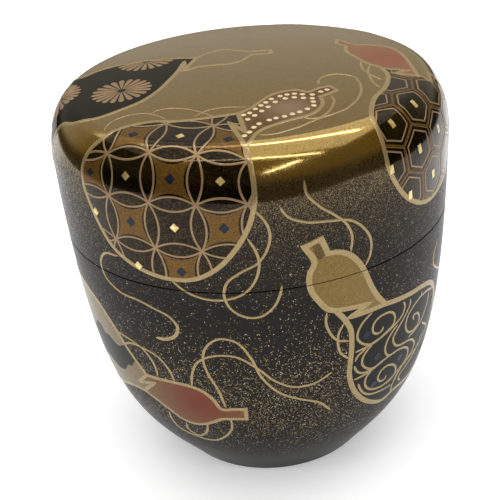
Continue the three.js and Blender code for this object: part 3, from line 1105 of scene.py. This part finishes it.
# %% Shippo body and dotted bulb
dotted_heart_pixel, dotted_heart_reach, dotted_heart_tone = (289, 108), 6.0, "#8c765a"
# Gold dust on brown that pales to the middle, as tie-dyed cloth does.
dotted_brown = powdered("gold_dust_on_pale_brown",
                        [(0.0, "#44301a"), (0.5, "#5f4526"), (1.0, "#7e6038")], metal=0.5, rough=0.28,
                        heart=(seen(dotted_heart_pixel)[0], dotted_heart_reach, dotted_heart_tone))
lines, ground, dots = Paint(), Paint(), Paint()
outline_gourd(lines, body, bulb_line, outline_width, bulb_line_width)
plate(ground, body, field_thick, brown_fields)
plate(ground, bulb, field_thick, number=2)
for pixel in shippo_dot_pixels:
    dot(dots, seen(pixel)[0], dot_width, dot_height, dot_thick)
painted("shippo_gourd_ground", ground, [sparse_gold, brown_gold, dotted_brown])
painted("shippo_gourd_arcs", arcs, [petal_gold])
painted("shippo_gourd_lines", lines, [line_gold])
painted("shippo_gourd_dots", dots, [cream_gold])

# %% [markdown]
# ### The chrysanthemum gourd
# It lies over the far left edge of the lid. Its body is plain black with open
# chrysanthemums, and its bulb is only drawn in outline on the gold. Each flower is twenty
# ridges that widen outwards, so the petals are parted by black, as brushed petals are.

# %% Where the chrysanthemum gourd lies
kiku_teeth_pixels = [(196, 58.2), (184.8, 69.8), (184.2, 62), (178.5, 70.5)]
kiku_far_pixels = [
    (186, 58.3), (172, 58.8), (157, 59.8), (136, 62.5), (111, 67.5), (96, 72), (81, 78)
]
kiku_left_places = [(-106, 33), (-101, 40), (-93, 44), (-84, 42.5), (-77, 37.5)]
kiku_near_pixels = [
    (62, 125), (74.5, 123.5), (93, 119), (119, 110.5), (142, 101), (157, 91.5), (169.5, 80),
    (175, 74.5)
]
kiku_bulb_pixels = [
    [(185, 70.5), (197, 67.1), (214, 65), (230, 63.6), (243, 60), (248.6, 56.4)],
    [(253, 54.3), (271, 53)],
    [(269.5, 50)],
    [(260, 50.8), (250, 51.4), (237, 50.4), (221.4, 50), (207, 53.6)],
]
flower_pixels, hidden_flowers = [(121.5, 90.8), (146.5, 61.5), (60.5, 101)], [(-93, 40.5)]
flower_reach, flower_heart, petal_count, petal_points = 5.1, 0.5, 20, 22
petal_widths, petal_thick, petal_taper = [0.14, 0.4, 0.7, 0.98, 1.1], 0.08, 0.5
kiku_bulb_width = 0.8
print("flowers:", len(flower_pixels), "seen and", len(hidden_flowers), "out of sight")


# %% Chrysanthemum body and open bulb
def flower(paint, point, border):
    """Adds a chrysanthemum of petals that widen to round ends, cut off at a border."""
    across, downward = tangents(point)
    for k in range(petal_count):
        swing = 2 * math.pi * (k + 0.5) / petal_count
        way = math.cos(swing) * across + math.sin(swing) * downward
        petal = point + np.linspace(flower_heart, flower_reach, petal_points)[:, None] * way
        for stretch in clipped(surface(*locate(petal)), border):
            ridge(paint, stretch, petal_widths, petal_thick, taper=petal_taper)


kiku_body = partly_hidden(kiku_far_pixels, kiku_left_places, kiku_near_pixels)
body, bulb, bulb_line = seen_gourd(kiku_body, kiku_bulb_pixels, kiku_teeth_pixels)
ground, lines, petals = Paint(), Paint(), Paint()
plate(ground, body, field_thick)
outline_gourd(lines, body, bulb_line, outline_width, kiku_bulb_width)
for point in np.vstack([seen(*flower_pixels), placed(*hidden_flowers)]):
    flower(petals, point, body)
painted("kiku_gourd_ground", ground, [plain_black])
painted("kiku_gourd_lines", lines, [line_gold])
painted("kiku_gourd_petals", petals, [petal_gold])

# %% [markdown]
# ### The tortoiseshell gourd
# Kikko, a lattice of hexagons, fills its body: a brown-gold band round each cell, a thin
# gold hexagon inside it, and a strip of gold foil in the middle. The bulb is red. Each cell
# draws only three of its six band sides, because its neighbours draw the others.

# %% Where the tortoiseshell gourd lies
kikko_gourd = {"direction": 49.7, "over_seam": 16.1, "lean": 6.0}
kikko_pitch, kikko_band, kikko_inner, hexagon_width = 7.2, 0.55, 2.75, 0.3
kikko_rows, kikko_columns = range(-5, 6), range(-6, 7)
kikko_teeth_pixels = [(383, 68.5), (408, 70.5), (394, 73), (418, 76)]
kikko_left_pixels = [
    (387.5, 74), (388, 81), (384, 89), (376, 96.5), (372, 107), (373, 119.5), (379, 132), (384, 147.5),
    (388, 165), (396.5, 184), (407, 197), (418, 202), (430, 198.5), (438, 188)
]
kikko_right_places = [(72.5, 45), (77, 40.5), (79.5, 35), (79, 30.5)]
kikko_last_pixels = [(431, 81.5)]
kikko_bulb_pixels = [
    [(412, 67), (405.5, 58), (399, 52), (391, 48), (381, 46), (366, 44.7), (354, 44.5)],
    [(351.5, 44)],
    [(337, 39.3)],
    [(336.5, 43.6)],
    [(346.5, 46.2), (345.8, 50), (349, 53.5), (356, 57.3), (367, 63), (381, 67.5)],
]
kikko_heart_pixel, kikko_heart_reach, kikko_heart_tone = (388, 58), 9.0, "#864e36"
kikko_body = partly_hidden(kikko_left_pixels, kikko_right_places, kikko_last_pixels)
body, bulb, bulb_line = seen_gourd(kikko_body, kikko_bulb_pixels, kikko_teeth_pixels)
print("corners round the body:", len(body))


# %% Hexagons
def hexagon(middle, reach):
    """Corners of a flat hexagon that stands on a corner, closed."""
    angle = np.radians(np.arange(30, 391, 60))
    return np.column_stack([middle[0] + reach * np.cos(angle), middle[1] + reach * np.sin(angle)])


def straights(gourd, corners):
    """Straight lines on a stencil, with points a step apart, bent onto the surface."""
    parts = []
    for a, b in zip(corners, corners[1:]):
        count = max(3, round(np.linalg.norm(np.subtract(b, a)) / point_step))
        parts.append(np.linspace(a, b, count)[:-1])
    return on_stencil(gourd, np.vstack(parts + [[corners[-1]]]))


bands, hexagons = Paint(), Paint()
for row in kikko_rows:
    for column in kikko_columns:
        middle = ((column + row / 2) * kikko_pitch, row * kikko_pitch * math.sin(math.radians(60)))
        cell = hexagon(middle, kikko_pitch / math.sqrt(3))
        inner = hexagon(middle, kikko_inner / math.cos(math.radians(30)))
        for stretch in clipped(straights(kikko_gourd, cell[:4]), body):
            ridge(bands, stretch, kikko_band, pattern_thick, taper=0)
        for stretch in clipped(straights(kikko_gourd, inner), body):
            ridge(hexagons, stretch, hexagon_width, pattern_thick, taper=0)
print("corners of the bands and hexagons:", bands.count, hexagons.count)

# %% Kikko body and red bulb
# Cinnabar lacquer dusted with gold: a warm red that glows most where the dust is thinnest.
kikko_red = powdered("gold_dusted_red_lacquer",
                     [(0.0, "#785038"), (0.6, "#885c42"), (1.0, "#967050")], metal=0.3,
                     heart=(seen(kikko_heart_pixel)[0], kikko_heart_reach, kikko_heart_tone))
ground, lines = Paint(), Paint()
plate(ground, body, field_thick)
plate(ground, bulb, field_thick, number=1)
outline_gourd(lines, body, bulb_line, outline_width, bulb_line_width)
painted("kikko_gourd_ground", ground, [sparse_gold, kikko_red])
painted("kikko_gourd_bands", bands, [brown_gold])
painted("kikko_gourd_hexagons", hexagons, [petal_gold])
painted("kikko_gourd_lines", lines, [line_gold])

# %% [markdown]
# ### The gourd of swirls
# It hangs over the seam on the right. The bulb is filled with gold, and the black body with
# gold swirls like eddies in water, between which chips of shell lie. No rule makes them, so
# each swirl is a line of its own, read off the photograph.

# %% Where the swirl gourd and its swirls lie
swirl_outline, swirl_width, swirl_thick, swirl_taper = 1.0, 0.5, 0.055, 0.6
swirl_teeth_pixels = [(385, 304), (350, 317), (368, 304), (336, 310.5)]
swirl_top_pixels = [(393, 301.5), (400.5, 298.5), (411.5, 293), (421.5, 286.5), (429, 282.5)]
swirl_right_places = [(64.5, 66.6), (67, 70), (67.5, 75), (65, 80), (58, 83.3)]
swirl_left_pixels = [
    (391, 391), (382.5, 399), (371.5, 401.5), (360, 397), (352.5, 387), (349.5, 374.5), (351, 358),
    (352, 341), (351, 330), (346, 321)
]
swirl_bulb_pixels = [
    [(328, 309), (319, 301), (312, 292), (309.5, 283), (310, 274), (314.5, 264)],
    [(304.5, 247)],
    [(321, 239)],
    [(328, 253.5), (337, 252), (348, 254), (356, 259.5), (362.5, 267.5), (367, 276.5), (371.5, 286.5),
     (377, 295.5)],
]
swirl_slot_pixels = [(311.5, 246), (317.5, 243.5), (324.5, 255.5), (320.5, 259.5)]
swirl_line_pixels = [
    [(383.2, 326), (382, 330), (378.2, 333.2), (373.7, 332.7), (372.6, 328.8), (374.2, 323.2),
     (378.2, 318.2), (384.9, 313.7), (390.4, 312), (394.3, 314.3), (394.9, 318.7), (393.2, 324.3),
     (388.2, 329.9), (382.6, 335.5), (377, 340.5), (371.5, 343.9), (365.9, 344.4), (360.8, 342.7),
     (357.5, 338.8), (357.5, 334.4), (359.2, 328.8), (362.5, 323.2), (367, 317.6), (372.6, 312)],
    [(354.5, 352.5), (360.3, 350), (367, 346.6), (373.7, 342.2), (380.4, 337.7), (388.2, 331),
     (394.9, 324.3), (400.5, 317.6), (403.8, 310.9), (404.9, 305.3), (403.3, 301.5)],
    [(372.6, 344), (367, 350.6), (362.5, 358.4), (362.3, 364.5), (365.9, 367.9), (371.5, 368.4),
     (378.2, 364.5), (384.9, 358.9), (392.7, 353.3), (399.4, 348.9), (404.4, 347.2), (407.7, 349.4),
     (406.6, 355.6), (403.3, 362.3), (398.2, 369), (392.7, 375.7), (386, 382.4), (378.2, 387.4),
     (371.5, 389.1), (366.4, 387.4), (364.8, 382.4), (367, 375.7), (371.5, 370.6)],
    [(354, 366), (357, 371.5), (361.4, 372.9), (367, 371.5), (373, 367.5)],
    [(353.5, 380), (362.5, 375.7), (371.5, 370), (380.4, 362.3), (389.3, 355.6)],
    [(355, 362), (357.5, 356.5), (362, 352), (367, 347)],
    [(386, 374.6), (384.9, 378), (381.5, 380.7), (378.2, 380.1), (378.2, 375.7), (381.5, 370.1),
     (387.1, 365.6), (392.7, 364.5), (395.5, 367.9), (394.3, 373.4), (390.4, 379), (385, 384)],
    [(398, 324), (392.7, 331), (388.2, 338.8), (385.4, 346.6), (385.6, 353), (389, 355.3),
     (394.9, 351.7)],
    [(410.5, 298.6), (410, 304.2), (407.2, 310.9), (402.7, 319.9), (397.1, 329.9), (393.2, 337.7),
     (393.8, 343.3), (397.1, 345.5), (402.7, 343.3), (408.3, 340), (412.8, 340), (413.9, 344.4),
     (411.6, 350), (407.2, 357.8), (401, 367), (396, 375), (392, 384), (390.5, 389), (393, 392)],
    [(413.8, 319.8), (413, 316), (416, 313), (418.8, 315), (418, 322.5), (413.5, 329.3), (409.5, 332),
     (406.5, 330.5), (405.6, 323.8), (408, 315.5), (412.5, 307.5), (418, 299.5), (425, 292), (432, 287)],
    [(428.5, 292), (427, 301), (424, 311.5), (420, 321.5), (414, 330.5), (408, 337)],
    [(422, 290.6), (420.8, 296.5)],
    [(421.5, 322), (425, 327.7), (421.7, 335.5), (416.1, 346.6), (409.4, 355.6), (402.7, 364.5),
     (396, 375.7), (391.5, 384.6)],
    [(399.4, 380.1), (398.2, 376.8), (400.5, 372.3), (406.1, 364.5), (412.8, 353.3), (418.3, 341.1)],
    [(358, 383.5), (360, 389), (364, 393), (370, 394), (378, 391.5), (386, 387.5), (391, 384)],
]
print("swirls:", len(swirl_line_pixels))

# %% Swirl body and gold bulb
swirl_body = partly_hidden(swirl_top_pixels, swirl_right_places, swirl_left_pixels)
body, bulb, bulb_line = seen_gourd(swirl_body, swirl_bulb_pixels, swirl_teeth_pixels)
ground, lines = Paint(), Paint()
plate(ground, body, field_thick)
plate(ground, bulb, field_thick, [(ring(seen(*swirl_slot_pixels)), 2)], number=1)
for pixels in swirl_line_pixels:
    for stretch in clipped(curve(seen(*pixels)), body):
        ridge(lines, stretch, swirl_width, swirl_thick, taper=swirl_taper)
outline_gourd(lines, body, bulb_line, swirl_outline, swirl_outline)
painted("swirl_gourd_ground", ground, [plain_black, bulb_gold, dark_gold])
painted("swirl_gourd_lines", lines, [line_gold])

# %% [markdown]
# ### The gourd of clouds
# Low on the left of the pot, with a red bulb and a body of black between tan bands that
# end like clouds. The bands are fields of the one ground plate, so no two layers of paint
# lie at the same height and flicker.

# %% Where the cloud gourd lies
cloud_teeth_pixels = [(147, 375), (139.5, 381), (154.5, 383), (145, 390)]
cloud_top_pixels = [
    (136, 360.5), (128, 349), (117.5, 331.5), (107, 314.5), (98, 300.5), (91, 290.5)
]
cloud_left_places = [
    (-80, 60), (-94, 60.5), (-104, 65.5), (-104, 72.5), (-95, 78.5), (-80, 81.5), (-66, 81)
]
cloud_low_pixels = [(136, 385.5)]
cloud_bulb_pixels = [
    [(157.5, 399.5), (170.5, 409.5), (182, 418), (193.5, 423), (207, 423.5), (216, 421)],
    [(222, 419), (234, 419)],
    [(246.5, 419)],
    [(245.5, 409.5)],
    [(234, 409.5), (222, 409.5)],
    [(214, 400.5), (205, 393), (193.5, 387.5), (178.5, 383.5), (168, 381), (154, 377.5)],
]
upper_edge_pixels = [
    (124, 345), (117.5, 344.5), (113, 339.5), (109.5, 335), (105, 331.5), (102.5, 326), (98, 320)
]
upper_edge_places = [(-69, 69), (-76, 67), (-84, 68), (-92, 66), (-98, 67), (-106, 60), (-80, 55)]
upper_back_pixels = [(95, 285), (125, 325)]
lower_edge_pixels = [
    (140, 362), (137, 361), (134, 362), (132.5, 365.5), (128.5, 364.5), (126.5, 368.5), (122, 368)
]
lower_edge_places = [(-66, 75), (-73, 76.5), (-80, 75.5), (-88, 77), (-88, 84), (-60, 84)]
lower_back_pixels = [(150, 395), (160, 375)]
cloud_heart_pixel, cloud_heart_reach, cloud_heart_tone = (202, 402), 14.0, "#74301e"
cloud_body = partly_hidden(cloud_top_pixels, cloud_left_places, cloud_low_pixels)
cloud_upper = ring(partly_hidden(upper_edge_pixels, upper_edge_places, upper_back_pixels))
cloud_lower = ring(partly_hidden(lower_edge_pixels, lower_edge_places, lower_back_pixels))
print("corners round the upper and lower cloud:", len(cloud_upper), len(cloud_lower))

# %% Cloud body and red bulb
# Cinnabar lacquer under gold dust that thickens to tan towards the body.
cloud_red = powdered("tan_to_red_lacquer",
                     [(0.0, "#66502f"), (0.6, "#785e3a"), (1.0, "#8a6e48")], metal=0.3, clear_coat=0.35,
                     heart=(seen(cloud_heart_pixel)[0], cloud_heart_reach, cloud_heart_tone))
body, bulb, bulb_line = seen_gourd(cloud_body, cloud_bulb_pixels, cloud_teeth_pixels)
ground, lines = Paint(), Paint()
plate(ground, body, field_thick, [(cloud_upper, 2), (cloud_lower, 2)])
plate(ground, bulb, field_thick, number=1)
outline_gourd(lines, body, bulb_line, bulb_line_width, bulb_line_width)
painted("cloud_gourd_ground", ground, [plain_black, cloud_red, tan_gold])
painted("cloud_gourd_lines", lines, [line_gold])

# %% [markdown]
# ### The gourd at the back
# The photograph doesn't show the back, so this gourd is a guess in the same manner: hemp
# leaves with squares of foil on the body, and a red bulb that hangs over the seam. As no
# pixel shows it, all of it is placed by its own stencil. Each line of the hemp leaf stops
# short of the corners, as in the usual drawing of that pattern.

# %% Where the hemp-leaf gourd lies
hemp_gourd = {"direction": 162.0, "over_seam": 14.5, "lean": -8.0}
hemp_pitch, hemp_short, hemp_width = 7.4, 0.14, 0.32
hemp_rows, hemp_columns = range(-4, 5), range(-5, 6)
hemp_teeth = [(-4, -12.2), (2.2, -10.4), (-1.6, -14.8), (4.2, -13)]
hemp_body = [
    (-9, -11.6), (-13.6, -7.5), (-15.2, -1.5), (-13, 4.5), (-7, 8.4), (0, 9.4), (7, 9.3), (13, 6),
    (15.4, 0.5), (14, -6), (10, -11)
]
hemp_bulb = [
    [(6, -17), (9, -21.5), (9.3, -26), (6.5, -29.5), (2, -31.2)],
    [(1.8, -35.5)],
    [(-1.2, -35.5)],
    [(-1.2, -31.4), (-6, -29.8), (-8.8, -26), (-8.5, -21), (-5.5, -16.5)],
]
hemp_tendrils = [
    [(2, -34), (8, -36), (14, -33), (17, -26), (13, -20), (8, -18)],
    [(-1, -34), (-8, -37), (-15, -33), (-20, -25), (-27, -24), (-33, -29), (-36, -37)],
    [(-9, -24), (-15, -22), (-19, -16), (-25, -14), (-31, -17)],
    [(14, -8), (20, -12), (27, -10), (31, -3), (27, 4), (20, 5)],
    [(-14, -3), (-21, -1), (-25, 6), (-21, 12), (-14, 10)],
]
hemp_heart, hemp_heart_reach, hemp_heart_tone = (0.5, -23), 11.0, "#7a3826"
body, bulb, bulb_line = gourd_borders(on_stencil(hemp_gourd, hemp_body),
                                      [on_stencil(hemp_gourd, run) for run in hemp_bulb],
                                      on_stencil(hemp_gourd, hemp_teeth))
print("corners round the body:", len(body))

# %% Hemp leaves
lines = Paint()
step_x, step_y = hemp_pitch, hemp_pitch * math.sin(math.radians(60))


def leaf_line(start, end):
    """Adds a straight line of the pattern, as far as it lies inside the body."""
    for stretch in clipped(straights(hemp_gourd, [start, end]), body):
        ridge(lines, stretch, hemp_width, pattern_thick, taper=0)


for row in hemp_rows:
    for column in hemp_columns:
        here = np.array([(column + row / 2) * step_x, row * step_y])
        near = [here + reach for reach in ((step_x, 0), (step_x / 2, step_y), (-step_x / 2, step_y))]
        for end in near:
            short = hemp_short * (end - here)
            leaf_line(here + short, end - short)
        for pair in (near[:2], near[1:]):
            corners = [here, *pair]
            middle = sum(corners) / 3
            for corner in corners:
                leaf_line(corner + 2 * hemp_short * (middle - corner), middle)
print("corners of the leaf lines:", lines.count)

# %% Hemp-leaf body and red bulb
# The same cinnabar lacquer under gold dust as on the other bulbs, a little darker.
hemp_red = powdered("red_lacquer_at_the_back",
                    [(0.0, "#6e5236"), (0.6, "#806242"), (1.0, "#927250")], metal=0.3,
                    heart=(on_stencil(hemp_gourd, hemp_heart)[0], hemp_heart_reach, hemp_heart_tone))
ground = Paint()
plate(ground, body, field_thick)
plate(ground, bulb, field_thick, number=1)
outline_gourd(lines, body, bulb_line, outline_width, outline_width)
for spots in hemp_tendrils:
    ridge(lines, curve(on_stencil(hemp_gourd, spots)), tendril_width, line_thick)
painted("hemp_gourd_ground", ground, [sparse_gold, hemp_red])
painted("hemp_gourd_lines", lines, [line_gold])

# %% [markdown]
# ## Cut chips
# The imported part holds the chips as separate pieces, and its shapes stay: squares and strips
# of gold foil, and squares of abalone shell, which shimmer blue and green under the lacquer.
# They only need their materials. The foil's paler patches are painted glints, where creased foil would
# flash;
# they are about 0.7 mm apart, and the shell's colours change over about 2.4 mm, so that each chip shows one
# or two of them.

# %% Foil and shell
foil_tones_and_glints = [(0.35, "#c9ad68"), (0.5, "#e6cf8a"), (0.65, "#f2e2ac")]
shell_tones = [(0.3, "#221d2e"), (0.42, "#181b2c"), (0.52, "#15232f"), (0.62, "#1b2c2b"), (0.72, "#242030")]
foil_glint_spacing, foil_coat, foil_metal, foil_rough = 0.714, 0.5, 0.8, 0.35
shell_layer, shell_swirl, shell_metal, shell_rough = 2.38, 1.5, 0.3, 0.3


def gold_foil():
    """Beaten gold foil, creased a little as it is pressed down; the flashes of its creases are painted
    glints, small pale patches in its colour.
    """
    finish, tree, shader = coated("gold_foil", foil_coat)
    place = node(tree, "ShaderNodeTexCoord").outputs["Object"]
    # Painted glints: noise lays small pale patches into the foil's colour, where its creases would catch
    # the light.
    glint_noise = node(tree, "ShaderNodeTexNoise",
                  {"Vector": place, "Scale": 1 / (foil_glint_spacing * MM), "Detail": 3.0})
    tone = node(tree, "ShaderNodeValToRGB", {"Fac": glint_noise.outputs["Fac"]}, foil_tones_and_glints)
    tree.links.new(tone.outputs[0], shader.inputs["Base Color"])
    shader.inputs["Metallic"].default_value = foil_metal
    shader.inputs["Roughness"].default_value = foil_rough
    return finish


def abalone():
    """Abalone shell ground thin, whose layers shimmer from violet to green."""
    finish, tree, shader = coated("abalone_shell")
    place = node(tree, "ShaderNodeTexCoord").outputs["Object"]
    layers = node(tree, "ShaderNodeTexNoise",
                  {"Vector": place, "Scale": 1 / (shell_layer * MM), "Detail": 2.0,
                   "Distortion": shell_swirl})
    tone = node(tree, "ShaderNodeValToRGB", {"Fac": layers.outputs["Fac"]}, shell_tones)
    tree.links.new(tone.outputs[0], shader.inputs["Base Color"])
    shader.inputs["Metallic"].default_value = shell_metal
    shader.inputs["Roughness"].default_value = shell_rough
    return finish


foil, shell = gold_foil(), abalone()
chips = 0
for name, item in frame["nodes"].items():
    for word, finish, kind in (("gold", foil, "gold_foil"), ("shell", shell, "abalone_shell")):
        if word in name:
            item.data.materials.clear()
            item.data.materials.append(finish)
            chips += 1
print("chips dressed:", chips)

# %% [markdown]
# ## Floor, background and light
# The caddy stands on a sheet of white paper in a dim brown room. Polished lacquer shows its
# surroundings: the paper in its sides, the dark room in its shoulder, a pale wall behind it
# in its top. A picture of a real room could stand for all this, but a few soft shapes are
# enough for what the lacquer shows, and each can be matched by itself. Only the camera sees
# plain white beyond the paper. A wide soft ceiling lights the caddy. Three lamps like
# fluorescent tubes hang with it; where they lie was found by tracing the bright lines on
# the shoulder and the lid back from the photograph.

# %% Floor
paper_low, paper_high = (-0.3, -0.235), (0.3, 0.55)
paper_white, paper_glow, paper_rough = "#f0f0f0", 0.35, 0.9


def shown(tree):
    """One for rays that show the background: to the camera, off gloss and through glass.
    Also the camera's own share."""
    rays = node(tree, "ShaderNodeLightPath").outputs
    both = node(tree, "ShaderNodeMath", {0: rays["Is Camera Ray"], 1: rays["Is Glossy Ray"]},
                operation="MAXIMUM").outputs[0]
    every = node(tree, "ShaderNodeMath", {0: both, 1: rays["Is Transmission Ray"]},
                 operation="MAXIMUM").outputs[0]
    return every, rays["Is Camera Ray"]


paper_mesh = bpy.data.meshes.new("paper")
paper_corners = [(paper_low[0], paper_low[1], 0), (paper_high[0], paper_low[1], 0),
                 (paper_high[0], paper_high[1], 0), (paper_low[0], paper_high[1], 0)]
paper_mesh.from_pydata(paper_corners, [], [(0, 1, 2, 3)])
floor = bpy.data.objects.new("paper", paper_mesh)
bpy.context.scene.collection.objects.link(floor)
paper = bpy.data.materials.new("white_paper")
paper.use_nodes = True
tree = paper.node_tree
shader = tree.nodes["Principled BSDF"]
shader.inputs["Base Color"].default_value = linear(paper_white)
shader.inputs["Roughness"].default_value = paper_rough
shader.inputs["Specular IOR Level"].default_value = 0.0
shader.inputs["Emission Color"].default_value = (1, 1, 1, 1)
glow = node(tree, "ShaderNodeMath", {0: shown(tree)[0], 1: paper_glow}, operation="MULTIPLY").outputs[0]
tree.links.new(glow, shader.inputs["Emission Strength"])
paper_mesh.materials.append(paper)
print("paper in metres, x and y:", paper_low, "to", paper_high)

# %% Surroundings
# Directions are unit vectors: y rises away from the camera's side, and z upwards.
wall_starts, wall_full, wall_low, wall_high, brown_from = 0.1, 0.7, -0.1, 0.12, 0.2
room_light, dark_room, brown_room, pale_wall = 0.35, 0.04, 0.26, 0.5
room_tone, wall_tone, plain_white = linear("#ffdd78"), linear("#fff4e2"), (1, 1, 1, 1)
world = bpy.data.worlds.new("room")
bpy.context.scene.world = world
world.use_nodes = True
tree = world.node_tree
way = node(tree, "ShaderNodeTexCoord").outputs["Generated"]
parts = node(tree, "ShaderNodeSeparateXYZ", {0: way}).outputs
away = node(tree, "ShaderNodeMapRange",
            {"Value": parts["Y"], "From Min": wall_starts, "From Max": wall_full},
            interpolation_type="SMOOTHSTEP").outputs[0]
raised = node(tree, "ShaderNodeMapRange",
              {"Value": parts["Z"], "From Min": wall_low, "From Max": wall_high},
              interpolation_type="SMOOTHSTEP").outputs[0]
behind = node(tree, "ShaderNodeMath", {0: away, 1: raised}, operation="MULTIPLY").outputs[0]
shows, to_camera = shown(tree)
room = node(tree, "ShaderNodeMapRange",
            {"Value": parts["Z"], "From Min": 0.0, "From Max": brown_from, "To Min": dark_room,
             "To Max": brown_room}, interpolation_type="SMOOTHSTEP").outputs[0]
wall = node(tree, "ShaderNodeMix", {"Factor": behind, "A": room, "B": pale_wall}).outputs["Result"]
level = node(tree, "ShaderNodeMix", {"Factor": shows, "A": room_light, "B": wall}).outputs["Result"]
tint = node(tree, "ShaderNodeMix", {"Factor": behind, "A": room_tone, "B": wall_tone},
            data_type="RGBA").outputs["Result"]
tone = node(tree, "ShaderNodeMix", {"Factor": shows, "A": plain_white, "B": tint},
            data_type="RGBA").outputs["Result"]
seen_tone = node(tree, "ShaderNodeMix", {"Factor": to_camera, "A": tone, "B": plain_white},
                 data_type="RGBA").outputs["Result"]
strength = node(tree, "ShaderNodeMath", {0: level, 1: to_camera}, operation="MAXIMUM").outputs[0]
background = tree.nodes["Background"]
tree.links.new(seen_tone, background.inputs["Color"])
tree.links.new(strength, background.inputs["Strength"])
print("world nodes:", len(tree.nodes))


# %% Lamps
def lamp(name, place, target, size, radiance):
    """A soft rectangular lamp of a given brightness, where 1 is as bright as white paper."""
    data = bpy.data.lights.new(name, "AREA")
    data.shape = "RECTANGLE"
    data.size, data.size_y = size
    data.energy = radiance * math.pi * size[0] * size[1]
    made = bpy.data.objects.new(name, data)
    aim = Vector(place) - Vector(target)
    made.matrix_world = Matrix.Translation(place) @ aim.to_track_quat("Z", "Y").to_matrix().to_4x4()
    bpy.context.scene.collection.objects.link(made)
    return made


caddy_middle = Vector((0, 0, 0.06))
ceiling_place, ceiling_size, ceiling_radiance = (0, 0, 0.66), (1.5, 1.0), 1.0
lamp("ceiling", ceiling_place, caddy_middle, ceiling_size, ceiling_radiance)
# Each tube: place, length and width in metres, brightness, and its turn in degrees.
tubes = [("first_tube", (0.05, 0.055, 0.6), (0.85, 0.05), 9.4, -10.8),
         ("second_tube", (0.0, -0.5, 0.6), (1.1, 0.03), 14.0, -10.8),
         ("far_tube", (0.295, -1.21, 0.6), (0.8, 0.055), 14.0, 70.6)]
for name, place, size, radiance, turn in tubes:
    tube = lamp(name, place, Vector(place) - Vector((0, 0, 1)), size, radiance)
    tube.matrix_world = tube.matrix_world @ Matrix.Rotation(math.radians(turn), 4, "Z")
print("lamps:", 1 + len(tubes))

# %% [markdown]
# ## Colour view
# The colour view stays plain.

# %% Finish
bpy.context.scene.view_settings.view_transform = "Standard"
